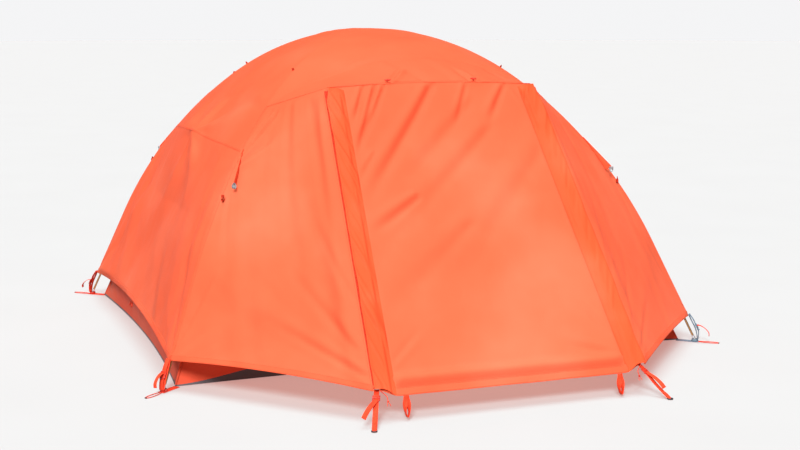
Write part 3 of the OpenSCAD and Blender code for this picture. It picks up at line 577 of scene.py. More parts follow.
FLY = taffeta("fly_cloth", (0.62, 0.098, 0.042), (0.55, 0.064, 0.024), (0.98, 0.27, 0.15), 0.34)
FLAP = taffeta("flap_cloth", (0.62, 0.062, 0.020), (0.56, 0.040, 0.012), (0.80, 0.08, 0.03), 0.12)
TUB = taffeta("tub_cloth", (0.48, 0.060, 0.028), (0.42, 0.040, 0.018), (0.6, 0.06, 0.02), 0.18, 0.45)
GROUND = taffeta("floor_cloth", (0.060, 0.062, 0.070), (0.035, 0.036, 0.042), BLACK, 0.0, 0.4)
NET = netting("net_cloth", (0.50, 0.48, 0.45))
TAPE = webbing("orange_webbing", (0.62, 0.036, 0.012), (0.38, 0.014, 0.006))
BLACK_TAPE = webbing("black_webbing", (0.030, 0.030, 0.034), (0.010, 0.010, 0.012))
GREY_TAPE = webbing("blue_grey_webbing", (0.12, 0.17, 0.22), (0.05, 0.07, 0.10))
SILVER_TAPE = webbing("reflective_webbing", (0.20, 0.205, 0.215), (0.05, 0.055, 0.06))
DEEP_TAPE = webbing("deep_red_webbing", (0.36, 0.018, 0.006), (0.20, 0.006, 0.003))
THREAD = webbing("sewing_thread", (0.56, 0.066, 0.026), (0.42, 0.035, 0.014), 0.0004)
RED_CORD = braid("red_cord", (0.55, 0.028, 0.012), (0.28, 0.010, 0.006), (0.66, 0.10, 0.05))
ELASTIC = braid("elastic_cord", (0.80, 0.80, 0.80), (0.45, 0.45, 0.47))
PLASTIC = moulded("black_plastic", (0.022, 0.022, 0.025))
ORANGE_PLASTIC = moulded("orange_plastic", (0.36, 0.016, 0.008))
DEEP_PLASTIC = moulded("deep_red_plastic", (0.46, 0.024, 0.012))
GREY_PLASTIC = moulded("blue_grey_plastic", (0.10, 0.15, 0.19))
ZIP_PLASTIC = moulded("zip_plastic", (0.70, 0.07, 0.03), 0.35)
POLE = anodised("pole_bronze", (0.50, 0.27, 0.115))
BARE = anodised("pole_bare", (0.76, 0.76, 0.78))
METAL = anodised("zip_metal", (0.30, 0.30, 0.32), 0.35)

# --- cords -----------------------------------------------------------------------------------

CORD_D, CORD_Z, PULL_D = 0.003, 0.0019, 0.0028
# Millimetres out from the pole's tip and across it: a loop on the ground, whose two halves mirror each other
CORD_HALF = [(14, 4), (20, 5), (30, 7), (42, 9), (55, 10), (68, 10), (80, 9), (90, 7), (97, 4)]
CORD_ROUTE = [*CORD_HALF, (99, 0), *[(a, -b) for a, b in reversed(CORD_HALF)]]
CORD_END = 0.099
# Millimetres across the zip, down it from the slider, and out of the fly
PULL_ROUTE = [(0, 0.2, 5.2), (0, 4, 5.2), (0, 8, 5.1), (0, 12, 5), (0.2, 16, 4.9), (0.5, 20, 4.7),
              (0.9, 24, 4.5), (1.3, 28, 4.3), (1.7, 32, 4.1), (2, 36, 3.9), (2.2, 40, 3.8),
              (2.3, 44, 3.7), (2.2, 48, 3.6), (2, 52, 3.6), (1.7, 56, 3.5)]
PULL_SWING, PULL_LIFT = 0.026, 0.0018
PULL_TAIL = [(0.001, 0.0005), (0.006, 0.003), (0.012, 0.005), (0.017, 0.0052)]


def knot(shape, at, way, radius):
    """An overhand knot: a short trefoil of cord wound about a point."""
    way = unit(way)
    side = unit(np.cross(way, [0.3, 0.2, 1.0]))
    up = np.cross(side, way)
    t = np.linspace(0, 2 * math.pi, 49)
    x, y, z = np.sin(t) + 2 * np.sin(2 * t), np.cos(t) - 2 * np.cos(2 * t), -np.sin(3 * t)
    size = radius * 0.55
    path = at + size * (x[:, None] * side + y[:, None] * up + 1.3 * z[:, None] * way)
    tube(shape, path, radius * 0.9, 8)


def make_stake_cord(name, sign):
    """A loop of cord that lies on the ground at a pole's foot, with a sleeve at its far end."""
    origin, out, across = corner_frame(sign)
    route = [origin + out * a / 1000 + across * b / 1000 + UP * CORD_Z for a, b in CORD_ROUTE]
    path = quarter(spline(route), sign)
    shape, tip = Shape(), Shape()
    tube(shape, path, CORD_D / 2, 12)
    full_name = "stake_cord_" + name
    cord = shape.build(full_name + "_braid", "tent", RED_CORD, "red_cord", full_name)
    ends = [origin + out * CORD_END + UP * CORD_Z + across * k for k in (-0.004, 0, 0.004)]
    tube(tip, spline(quarter(ends, sign), 6), CORD_D / 2 + 0.0007, 12)
    tip_piece = tip.build(full_name + "_sleeve", "tent", PLASTIC, "dark_plastic")


def make_pull(name, sign):
    """A slider's pull: a short cord that swings in under the storm flap, knotted, with two loose ends."""
    route = [zip_point(a / 1000, -SLIDER_REST - b / 1000, c / 1000) for a, b, c in PULL_ROUTE]
    below = np.linspace(0, 1, len(route))[:, None]
    route = np.array(route) - ZIP_X * PULL_SWING * ease((below - 0.15) / 0.6)
    path = quarter(spline(route + DOOR_OUT * PULL_LIFT * ease(below)), sign)
    shape, tail = Shape(), Shape()
    tube(shape, path, PULL_D / 2, 10)
    body = "zip_slider_" + name
    cord = shape.build("pull_" + name + "_braid", body, RED_CORD, "red_cord", "pull_" + name)
    way = path[-1] - path[-4]
    knot(tail, path[-1], way, 0.0017)
    for k in (-1, 1):
        end = [path[-1] + unit(way) * d + quarter(ZIP_X, sign) * k * a for d, a in PULL_TAIL]
        tube(tail, spline(end), 0.0011, 8)
    ends = tail.build("pull_" + name + "_knot", body, RED_CORD, "red_cord")


for quarter_name, quarter_sign in QUARTERS.items():
    make_stake_cord(quarter_name, quarter_sign)
    make_pull(quarter_name, quarter_sign)

# --- fly -------------------------------------------------------------------------------------

ROOF_N, VISOR_N, LEG_N, DOOR_NX, DOOR_NY, FLAP_N = 72, 60, 110, 96, 130, 150

BROW_PUSH, CROWN_SWELL = 0.050, 0.030
END_SWELLS = [0, 0.030, 0.046, 0, -0.018]
END_LIFT, SIDE_LIFT = 0.042, 0.056
# How slack the side panels are; the right ones are stretched tighter
SIDE_SLACK = {-1: 1.0, 1: 0.45}


def ridge_z(y):
    return FLY_TOP - (FLY_TOP - BROW_SEAM_Z) * (y / DOOR_TOP[1]) ** 2


def split_square(u, v):
    """A square from -1 to 1 as four triangles: reach from the middle, place across, and front or back."""
    reach = np.maximum(np.abs(u), np.abs(v))
    front = np.abs(v) >= np.abs(u)
    return reach, np.where(front, u, v) / np.maximum(reach, 1e-9), front


def roof_surface(u, v):
    """The square stretched over the poles, with a fold over each pole on the diagonals."""
    reach, w, front = split_square(u, v)
    p = leg(reach * RUN_HIP)
    fill = 1 - w * w
    push, swell = BROW_PUSH * reach ** 2, CROWN_SWELL * reach ** 2
    rise = ridge_z(p[..., 1] + push) - p[..., 2]
    over = np.stack([p[..., 0] * w, np.sign(v) * (p[..., 1] + push * fill), p[..., 2] + rise * fill], -1)
    height = p[..., 2] + 0.5 * swell * fill
    beside = np.stack([np.sign(u) * (p[..., 0] + swell * fill), p[..., 1] * w, height], -1)
    return np.where(front[..., None], over, beside)


def visor_surface(w, t):
    """The brow over a door, t from the hips to the door's top seam."""
    hip = leg(RUN_HIP)
    side = hip + (DOOR_TOP - hip) * t[..., None]
    fill = 1 - w * w
    push = BROW_PUSH * (1 - t)
    rise = ridge_z(side[..., 1] + push) - side[..., 2]
    return np.stack([side[..., 0] * w, side[..., 1] + push * fill, side[..., 2] + rise * fill], -1)


def end_surface(w, run):
    """An end panel between two legs: full at its seam, and drawn in and up at its hem."""
    p = leg(run)
    fill = 1 - w * w
    swell = np.interp(run, [0, RUN_HIP, RUN_SEAM, RUN_BELLY, RUN_HEM], END_SWELLS)
    lift = 0.5 * np.maximum(swell, 0) + np.interp(run, [RUN_BELLY, RUN_HEM], [0, END_LIFT])
    return np.stack([p[..., 0] + swell * fill, p[..., 1] * w, p[..., 2] + lift * fill], -1)


def side_surface(u, v):
    """u from the leg to the zip, v from the hip down to the hem."""
    a = leg(RUN_HIP + (RUN_HEM - RUN_HIP) * v)
    b = DOOR_TOP + (DOOR_FOOT - DOOR_TOP) * v[..., None]
    b = b + np.stack([ZIP_TAPE * ease(v / 0.03), 0 * v, 0 * v], -1)
    lift = SIDE_LIFT * u * (1 - u) * v ** 4
    return a + (b - a) * u[..., None] + lift[..., None] * UP


def shallow(d, share):
    """Keeps a share of each dip, so that the cloth stays clear of the poles under it."""
    return np.where(d < 0, share * d, d)


def roof_wrinkles(u, v):
    """Shallow folds that run in from the hips and die out before the poles."""
    reach, w, front = split_square(u, v)
    inside = ease((1 - np.abs(w)) / 0.2) * ease((1 - reach) / 0.06) * ease(reach / 0.2)
    d = 0.0060 * noise(u * 3.1 + 3.3, v * 3.1 + 8.1) + 0.0010 * noise(u * 13 + 1.2, v * 11 + 5.0)
    d += 0.0080 * noise(w * 2.4 + 9.0 * front, reach * 2.1 + 4.4) * ease(reach / 0.5)
    d += 0.0036 * ripples(u, v, 40, 0.12, 0.9, 6.3) * ease(reach / 0.5)
    return inside * shallow(d, 0.35)


def visor_wrinkles(w, t, uv):
    """Folds up from the two toggles, and small gathers along the brow seam."""
    inside = ease((1 - np.abs(w)) / 0.12) * ease(t / 0.06) * ease((1 - t) / 0.05)
    x, y = uv[..., 0], uv[..., 1]
    d = 0.0050 * ripples(x, y, 65, 0.05, 0.30, 4.0) + 0.0020 * noise(x * 18, y * 9)
    d += 0.0026 * noise(x * 34, y * 4 + 6) * ease((t - 0.6) / 0.4)
    for at, lean in ((-0.18, 0.75), (0.18, -0.35)):
        line = (x - at - lean * (uv[-1, -1, 1] - y)) / 0.012
        d -= 0.0110 * (bell(line) - 0.8 * bell((line - 1.7) / 1.4)) * ease((t - 0.30) / 0.4)
    return inside * shallow(d, 0.6)


def end_wrinkles(w, run, uv):
    """A star of creases at the seam, tension folds by the legs, and broad waves across the panel."""
    x, y = uv[..., 0], uv[..., 1]
    inside = ease((1 - np.abs(w)) / 0.08) * ease((run - RUN_HIP) / 0.05) * ease((RUN_HEM - run) / 0.03)
    side = np.abs(w)
    below = ease((run - RUN_SEAM) / 0.3)
    by_leg = bell((side - 0.76) / 0.16) * ease((run - 1.15) / 0.2)
    d = 0.0110 * noise(w * 2.2 + 5.5, run * 3.2 + 1.7) * below
    d += 0.0070 * ripples(x, run, 48, 0.13, 0.9, 2.2) * below
    d += 0.0050 * ripples(x, run, 125, 0.10, 0.8, 7.7)
    d += 0.0060 * noise(side * 13 + 2 * np.sign(w), run * 1.3) * by_leg
    d += star(x, run, (-0.06, RUN_SEAM), 0.40, 0.0260, 5, 0.6)
    for k in (-1, 1):
        corner = np.arctan2(RUN_HEM + 0.03 - run, 1.02 - k * w)
        near = np.exp(-np.hypot(RUN_HEM - run, (1 - k * w) * 0.9) / 0.28)
        d += 0.0075 * noise(corner * 5.5 + 4 + k, corner * 0 + 2) * near
    d += 0.0009 * noise(x * 26, y * 22)
    return d * inside


# Creases on a side panel, from and to (across, down) in metres, then width, depth and fade. The first
# three leave the fin, the next two run by the leg, and the last three leave the zip's lower end.
SIDE_FOLDS = [
    ((0.010, 0.27), (0.16, 0.010), 0.010, 0.0090, 0.3), ((0.015, 0.29), (0.24, 0.030), 0.013, 0.0115, 0.3),
    ((0.020, 0.31), (0.33, 0.140), 0.016, 0.0085, 0.5), ((0.010, 1.06), (0.11, 0.70), 0.012, 0.0070, 0.5),
    ((0.050, 0.42), (0.16, 0.76), 0.014, 0.0050, 0.7), ((0.790, 1.06), (0.30, 0.88), 0.016, 0.0075, 0.7),
    ((0.770, 0.98), (0.42, 0.66), 0.020, 0.0060, 0.7), ((0.780, 0.80), (0.56, 0.42), 0.022, 0.0050, 0.8),
]
PANEL_W, PANEL_H = 0.8, 1.1


def side_wrinkles(u, v, uv):
    """Folds that fan from the door's lower corner and the pole's foot, and a ridge beside the zip."""
    a, b = u * PANEL_W, v * PANEL_H
    inside = ease(u / 0.05) * ease((1 - u) / 0.03) * ease(v / 0.03) * ease((1 - v) / 0.02)
    fan = np.arctan2(1.13 - b, 0.84 - a)
    foot = np.arctan2(1.13 - b, a + 0.03)
    d = 0.0062 * noise(fan * 6 + 3.1, b * 1.6) * ease((1.15 - b) / 0.3) * ease(v / 0.3)
    d += 0.0060 * noise(foot * 6 + 7.3, b * 1.2) * np.exp(-np.hypot(1.1 - b, a) / 0.40)
    d += 0.0040 * ripples(a, b, 78, 0.060, 0.7, 3.9)
    d += sum(fold(a, b, *f) for f in SIDE_FOLDS)
    d += 0.0008 * noise(uv[..., 0] * 30, uv[..., 1] * 24)
    d += 0.0110 * bell((0.730 - a) / 0.040) * ease(v / 0.12) * ease((1 - v) / 0.12)
    return d * inside


def add_patch(shape, P, wrinkles):
    """Adds a panel, moved along its own normals by its wrinkles. Returns its final points."""
    P = P + outward_normals(P) * wrinkles(cloth_uv(P))[..., None]
    shape.grid(P, INSIDE)
    return P


def make_canopy():
    """Roof, visors, ends and sides as one sheet of cloth, welded along the seams."""
    shape, panels = Shape(), {}
    u, v = np.meshgrid(span(2 * ROOF_N, -1, 1), span(2 * ROOF_N, -1, 1))
    add_patch(shape, roof_surface(u, v), lambda uv: roof_wrinkles(u, v))
    w, t = np.meshgrid(span(2 * ROOF_N, -1, 1), span(VISOR_N))
    e, run = np.meshgrid(span(2 * ROOF_N, -1, 1), span(LEG_N, RUN_HIP, RUN_HEM))
    a, b = np.meshgrid(span(VISOR_N), span(LEG_N))
    for side, y in SIDES.items():
        P = visor_surface(w, t) * [1, y, 1]
        panels["visor", side] = add_patch(shape, P, lambda uv: visor_wrinkles(w * y, t, uv))
    for x in (-1, 1):
        P = end_surface(e, run) * [x, 1, 1]
        panels["end", x] = add_patch(shape, P, lambda uv: end_wrinkles(e, run, uv))
    for name, sign in QUARTERS.items():
        P = quarter(side_surface(a, b), sign)
        slack = SIDE_SLACK[sign[0]]
        panels["side", name] = add_patch(shape, P, lambda uv: slack * side_wrinkles(a, b, uv))
    replaced = ["fly_roof", "fly_end_left", "fly_end_right", *["fly_side_" + q for q in QUARTERS]]
    sheet = shape.build("fly_canopy", "tent", FLY, "fly_fabric", *replaced, weld=1e-5)
    return panels


PANELS = make_canopy()

# --- doors and storm flaps -------------------------------------------------------------------

HEM_DEPTH, HEM_DROOP = 0.030, 0.024
DROOP_FROM = 0.30
DOOR_GAP = 0.0065
BROW_RISE = BROW_SEAM_Z - DOOR_TOP[2]
# Long creases pulled across the door, from and to (x, down) in metres, then width and depth
DOOR_FOLDS = [
    ((0.006, 0.000), (-0.42, 0.57), 0.020, 0.0105), ((-0.284, 0.000), (-0.355, 0.17), 0.008, 0.0095),
    ((-0.235, 0.000), (-0.385, 0.34), 0.010, 0.0115), ((-0.195, 0.000), (-0.345, 0.26), 0.009, 0.0090),
    ((0.147, 0.000), (0.05, 0.20), 0.010, 0.0070), ((0.313, 0.000), (0.19, 0.19), 0.012, 0.0090),
    ((-0.17, 0.50), (-0.41, 0.665), 0.017, 0.0080), ((-0.30, 0.30), (-0.40, 0.44), 0.010, 0.0040),
    ((0.15, 0.08), (-0.28, 0.50), 0.026, 0.0040), ((0.20, 0.20), (-0.43, 0.80), 0.032, 0.0050),
    ((0.40, 0.30), (-0.10, 0.86), 0.040, 0.0040), ((0.34, 0.03), (0.40, 0.14), 0.008, 0.0036),
    ((0.02, 0.62), (-0.46, 1.02), 0.034, 0.0042), ((-0.45, 1.16), (-0.28, 1.02), 0.010, 0.0035),
    ((0.455, 1.15), (0.30, 0.95), 0.012, 0.0038), ((0.44, 1.19), (0.20, 1.12), 0.011, 0.0036),
]
FOLD_DEPTH = 1.35


def door_half_width(down):
    share = down / DOOR_LEN
    return DOOR_TOP[0] + (DOOR_FOOT[0] - DOOR_TOP[0]) * share - DOOR_GAP / math.cos(ZIP_LEAN)


def droop(down):
    """How far the door hangs below its corners, as a share, by the distance down it."""
    return ease((down - DOOR_LEN + DROOP_FROM) / DROOP_FROM)


def door_wrinkles(x, down):
    """Folds that leave the flaps alone, gathers along the side seams, and a roll over the hem's groove."""
    edge = door_half_width(down) - np.abs(x)
    middle = ease((edge - 0.042) / 0.035) * ease(down / 0.018)
    d = FOLD_DEPTH * sum(fold(x, down, *f) for f in DOOR_FOLDS)
    d = d + 0.0034 * ripples(x, down, 128, 0.07, 0.55, 5.2) * ease((1.0 - down) / 0.5)
    d = d + 0.0028 * noise(x * 2.2 + 3, down * 1.9 + 9) + 0.0006 * noise(x * 34, down * 26)
    gather = 0.0011 * bell(edge / 0.05) * noise(x * 4, down * 55)
    hem = down - (DOOR_LEN - HEM_DEPTH)
    roll = 0.0165 * bell((hem + 0.028) / 0.016) - 0.0120 * bell((hem - 0.003) / 0.009)
    calm = ease((DOOR_LEN - down) / 0.10)
    return middle * (d * calm + roll) + gather * calm


def make_door(side, y):
    """A door's sheet, its folded hem and the hem's two rows of stitches."""
    name, body, mirror = "fly_door_" + side, "fly_door_" + side, [1, y, 1]
    cols, rows = np.meshgrid(span(DOOR_NX, -1, 1), span(DOOR_NY))
    down = DOOR_LEN * rows
    x = cols * door_half_width(down)
    corner = ease((1 - np.abs(cols)) / 0.13)
    out = door_wrinkles(x * -y, down) - 0.0008 * ease(down / 0.02)
    P = door_point(x, down + HEM_DROOP * corner * droop(down), out)
    brow = BROW_RISE * (1 - cols ** 2) * (1 - ease(down / 0.16))
    shape, sewn = Shape(), Shape()
    shape.grid((P + brow[..., None] * UP) * mirror, INSIDE)
    hem_x = span(DOOR_NX, -1, 1) * door_half_width(DOOR_LEN - HEM_DEPTH / 2)
    flutter = 0.0012 * noise(hem_x * 14 + 2.1, hem_x * 0) + 0.0006 * noise(hem_x * 60, hem_x * 0)
    hem_down = DOOR_LEN - HEM_DEPTH / 2 + 0.001 + HEM_DROOP * corner[-1]
    hem_path = door_point(hem_x, hem_down, flutter - 0.0006) * mirror
    ribbon(shape, hem_path, DOOR_OUT * mirror, HEM_DEPTH, 0.0022, bulge=0.5)
    sheet = shape.build(name + "_cloth", body, FLY, "fly_fabric", name)
    for aside in (-0.0125, 0.0125):
        stitches(sewn, hem_path + DOOR_OUT * mirror * 0.0015, DOOR_OUT * mirror, aside)
    sewn.build(name + "_stitches", body, THREAD, "orange_webbing")


FLAP_IN, FLAP_OUT = -0.060, 0.017
FLAP_RISE, FLAP_SKIN = 0.0120, 0.0012
# The flap stays this far out over the zip, so that the pull cord can run up under it
CORD_ROOM = 0.0102


def make_flap(name, sign):
    """A storm flap: sewn to the door on one side, puckered, and lifted over the zip with a free edge.

    Its slanting puckers grow towards the top, and the left flaps have more of them, as in the photo.
    """
    side = name.split("_")[0]
    body = "fly_door_" + side
    c, r = np.meshgrid(np.concatenate([span(26), [1.0]]), span(FLAP_N))
    down = 0.010 + (ZIP_LEN - 0.012) * r
    seed = 3.0 + 5 * sign[0] + 2 * sign[1]
    x = FLAP_IN + (FLAP_OUT * (0.45 + 0.55 * ease(r / 0.07)) - FLAP_IN) * c
    rise = FLAP_RISE * ease(c / 0.5)
    strong = 1.0 if sign[0] < 0 else 0.35 + 0.85 * ease((0.30 - down) / 0.2)
    crush = 1 + 0.8 * ease((0.5 - down) / 0.5)
    pucker = 0.0070 * noise((down + 2.2 * x) * 13 + seed, x * 5 + seed)
    pucker = pucker + 0.0038 * noise((down + 2.6 * x) * 34 + seed, x * 9)
    pucker = crush * (pucker + 0.0034 * np.abs(noise((down + 2.0 * x) * 21 + 3 * seed, x * 12 + seed)))
    ends = ease(r / 0.02) * ease((1 - r) / 0.01)
    taper = 0.35 + 0.65 * ease((1 - c) / 0.15)
    height = FLAP_SKIN + rise + strong * pucker * ease(c / 0.12) * ends * taper
    # The last column doubles the free edge, and turns it in
    height[:, -1] -= 0.0022
    height = np.maximum(height, FLAP_SKIN)
    height = np.maximum(height, CORD_ROOM * ease((x + 0.050) / 0.014) * (c < 0.99))
    wave = 0.0034 * noise(down * 13 + seed, down * 0 + 0.5) * ease((c - 0.7) / 0.3)
    drop = HEM_DROOP * ease((-x - DOOR_GAP) / 0.064) * droop(down)
    P = quarter(zip_point(x + wave, -down - drop, height), sign)
    shape, sewn = Shape(), Shape()
    shape.grid(P, INSIDE)
    sheet = shape.build("storm_flap_" + name + "_cloth", body, FLAP, "flap_fabric")
    out = quarter(DOOR_OUT, sign)
    for aside in (0.004, 0.008):
        across = np.full(FLAP_N + 1, FLAP_IN + aside)
        line = zip_point(across, -down[:, 0] - drop[:, 2], height[:, 2] + 0.0006)
        stitches(sewn, quarter(line, sign), out)
    stitches(sewn, P[:, -4] + out * 0.0004, out)
    sewn.build("storm_flap_" + name + "_stitches", body, THREAD, "orange_webbing")
    return sheet


for side_name, side_y in SIDES.items():
    make_door(side_name, side_y)
    flaps = [make_flap(n, s) for n, s in QUARTERS.items() if n.startswith(side_name)]
    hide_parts("storm_flaps_" + side_name)

# --- seams, hems and zips --------------------------------------------------------------------

SEAM_W, SEAM_T, HEM_W, HEM_T = 0.010, 0.0012, 0.022, 0.0018
SKIN = 0.0004
TAPE_T, COIL_PITCH = 0.0009, 0.0024
TURNS = {"left": lambda g: g, "right": lambda g: g[:, ::-1], "top": lambda g: g.transpose(1, 0, 2),
         "bottom": lambda g: g[::-1].transpose(1, 0, 2)}


def border(P, edge, distance):
    """Points on a panel at a distance in from one of its edges, and the outward normals there."""
    G, N = TURNS[edge](P), TURNS[edge](outward_normals(P))
    run = np.cumsum(np.linalg.norm(np.diff(G, axis=1), axis=-1), 1)
    run = np.concatenate([np.zeros((len(G), 1)), run], 1)
    rows = np.arange(len(G))
    k = np.clip((run < distance).sum(1), 1, G.shape[1] - 1)
    before, after = run[rows, k - 1], run[rows, k]
    t = np.clip((distance - before) / np.maximum(after - before, 1e-9), 0, 1)[:, None]
    return G[rows, k - 1] * (1 - t) + G[rows, k] * t, unit(N[rows, k - 1] * (1 - t) + N[rows, k] * t)


def band(tape, sewn, line, normal, width=SEAM_W, thickness=SEAM_T):
    """A folded and topstitched band of cloth along a line on the fly."""
    ribbon(tape, line + normal * SKIN, normal, width, thickness)
    for aside in (0.0024 - width / 2, width / 2 - 0.0024):
        stitches(sewn, line + normal * (SKIN + thickness / 2), normal, aside)


def make_seams():
    tape, sewn = Shape(), Shape()
    row = int((RUN_SEAM - RUN_HIP) / (RUN_HEM - RUN_HIP) * LEG_N)
    for x in (-1, 1):
        P = PANELS["end", x]
        band(tape, sewn, P[row], outward_normals(P)[row])
        band(tape, sewn, *border(P, "bottom", HEM_W / 2), HEM_W, HEM_T)
    for name in QUARTERS:
        P = PANELS["side", name]
        band(tape, sewn, *border(P, "left", 0.006))
        band(tape, sewn, *border(P, "bottom", HEM_W / 2), HEM_W, HEM_T)
        line, n = border(P, "right", 0.008)
        stitches(sewn, line + n * SKIN, n)
    for side in SIDES:
        P = PANELS["visor", side]
        for edge in ("left", "right"):
            band(tape, sewn, *border(P, edge, 0.006))
        band(tape, sewn, *border(P, "bottom", 0.004), 0.012)
    tape.build("fly_seams", "tent", FLY, "fly_fabric")
    sewn.build("fly_stitches", "tent", THREAD, "orange_webbing")


def make_zips():
    """Each zip's coil and tape on the side panel, and a half tape along the door's own edge."""
    tape, coil = Shape(), Shape()
    y = np.linspace(-0.018, 0.008 - ZIP_LEN, 120)
    halves = {side: Shape() for side in SIDES}
    for name, sign in QUARTERS.items():
        out = quarter(DOOR_OUT, sign)
        at = lambda x, z: quarter(zip_point(np.full(120, x), y, np.full(120, z)), sign)
        ribbon(tape, at(0.0108, 0.0), out, 0.0155, TAPE_T)
        stitches(coil, at(0.0019, 0.0), out, 0.0, COIL_PITCH, radius=0.0010)
        half, line = halves[name.split("_")[0]], at(-0.0125, -0.0012)
        ribbon(half, line, out, 0.010, TAPE_T)
        stitches(half, line + quarter(ZIP_X, sign) * 0.0055, out, 0.0, COIL_PITCH, radius=0.0009)
    tape.build("fly_zip_tapes", "tent", DEEP_TAPE, "zip_black", "fly_zips")
    coil.build("fly_zip_coils", "tent", ZIP_PLASTIC, "zip_black")
    for side, half in halves.items():
        half.build("door_zip_tapes_" + side, "fly_door_" + side, DEEP_TAPE, "zip_black")


make_seams()
make_zips()

# --- guy-out points, loops and toggles -------------------------------------------------------

FIN_OUT = unit([0.45, 0.75, 0.5])
FIN_TOP = side_surface(np.array(0.030), np.array(0.205)) + 0.003 * FIN_OUT
FIN_FOOT = side_surface(np.array(0.110), np.array(0.36)) + 0.003 * FIN_OUT
FIN_TIP = FIN_FOOT + 0.030 * FIN_OUT
LEG_LOOP_RUN = 0.619
TOGGLE_X, TOGGLE_Y = 0.180, 0.738
TIE = [(0, 0, -0.008), (0.001, 0.0035, -0.003), (0.0005, 0.004, 0.001), (0, 0, 0.0042),
       (-0.0005, -0.004, 0.001), (-0.001, -0.0035, -0.003), (0, 0, -0.008)]


def level(degrees):
    """A level direction, by its angle from +X."""
    return [math.cos(math.radians(degrees)), math.sin(math.radians(degrees)), 0]


def hang_loop(shape, at, right, down, width, length):
    """Webbing doubled into a loop: flat where it is sewn on, and turned edge-on and open at its end."""
    right, down = unit(right), unit(down)
    front = np.cross(down, right)
    t = np.linspace(0, 1, 15)
    x = 0.34 * width * np.sin(math.pi * t ** 1.5) + 0.0012
    x[-1] = 0
    z = length * (t - 0.02 * np.sin(2 * math.pi * t))
    y = 0.0010 * (1 - t)
    turn = ease((t - 0.15) / 0.65) * math.pi / 2
    half = lambda k: at - k * x[:, None] * right + k * y[:, None] * front + z[:, None] * down
    facing = lambda k: k * (np.cos(turn)[:, None] * front - np.sin(turn)[:, None] * right)
    path = np.concatenate([half(1), half(-1)[-2::-1]])
    normal = np.concatenate([facing(1), facing(-1)[-2::-1]])
    normal[len(t) - 1] = down
    ribbon(shape, path, normal, width, 0.0013)


def make_fins():
    """The guy-out fins with their rims and reflective loops, and the plain loops on the legs and sides."""
    cloth, sewn, loops, small = Shape(), Shape(), Shape(), Shape()
    s, t = np.meshgrid(span(16), span(12))
    edge = FIN_TOP + (FIN_FOOT - FIN_TOP) * s[..., None]
    billow = 0.003 * np.sin(math.pi * s) * (1 - t) * np.sin(math.pi * t)
    P = edge + (FIN_TIP - edge) * t[..., None] + billow[..., None] * np.array([-0.8, 0.5, 0.1])
    for sign in QUARTERS.values():
        cloth.grid(quarter(P, sign))
        rim = quarter(resample([FIN_TOP, FIN_TIP, FIN_FOOT], 0.003), sign)
        side = quarter(unit(np.cross(FIN_TIP - FIN_TOP, FIN_FOOT - FIN_TOP)), sign)
        ribbon(cloth, rim, side, 0.006, 0.0012)
        stitches(sewn, rim + side * 0.0008, side)
        tip = FIN_TIP + [0.00075, 0.002, -0.001]
        hang_loop(loops, quarter(tip, sign), quarter(level(40), sign), -UP, 0.013, 0.022)
        p, _, across, out = leg_frame(LEG_LOOP_RUN)
        p, across, out = (quarter(v, sign) for v in (p + out * 0.009, across, out))
        hang_loop(small, p, across, -out, 0.007, 0.009)
        at = side_surface(np.array(0.04), np.array(0.40)) + [0.010, 0.015, 0.006]
        hang_loop(small, quarter(at, sign), quarter(level(130), sign), -UP, 0.010, 0.026)
    fins = cloth.build("guyout_fins_cloth", "tent", FLAP, "flap_fabric", "guyout_fins")
    sewn.build("guyout_stitches", "tent", THREAD, "orange_webbing")
    loops.build("reflective_loops_webbing", "tent", SILVER_TAPE, "reflective", "reflective_loops")
    small.build("side_loops_webbing", "tent", DEEP_TAPE, "orange_webbing", "side_loops")


def make_toggles():
    """Two small bars on each brow, each tied down with a turn of cord."""
    shape = Shape()
    z = ridge_z(TOGGLE_Y) + 0.009 - 0.013 * (TOGGLE_X / DOOR_TOP[0]) ** 2
    k = np.linspace(-1, 1, 17)
    radius = 0.0030 * np.sqrt(np.clip(1 - np.abs(k) ** 6, 0.03, 1))
    bar = np.stack([0.013 * k, 0 * k, 0.0012 * k * k], -1)
    for y in SIDES.values():
        for x in (-TOGGLE_X, TOGGLE_X):
            at = np.array([x, y * TOGGLE_Y, z])
            tube(shape, bar + at, radius, 12, 0)
            tube(shape, spline(at + np.array(TIE) * [1, y, 1]), 0.0011, 8, 1)
    shape.build("brow_toggles_tied", "tent", [DEEP_PLASTIC, RED_CORD], "orange_webbing", "brow_toggles")


def make_end_loops():
    """A pair of thin loops under the middle of each end's hem."""
    shape = Shape()
    for x in (-1, 1):
        line, _ = border(PANELS["end", x], "bottom", 0.004)
        for k in (-1, 1):
            at = line[len(line) // 2] + [0, 0.011 * k, 0]
            hang_loop(shape, at, [0, 1.0, 0], [0.25 * x, 0.35 * k, -1], 0.005, 0.032)
    shape.build("end_hem_loops", "tent", DEEP_TAPE, "orange_webbing")


make_fins()
make_toggles()
make_end_loops()

# --- vestibule corners -----------------------------------------------------------------------

STRAP_X = unit(STAKE - STRAP_HEAD)
STRAP_LEN = float(np.linalg.norm(STAKE - STRAP_HEAD))
STRAP_Y = unit(np.cross(UP, STRAP_X))
STRAP_Z = np.cross(STRAP_X, STRAP_Y)
STRAP_AXES = (STRAP_X, STRAP_Y, STRAP_Z)
WEBBING_W, WEBBING_T = 0.018, 0.0016
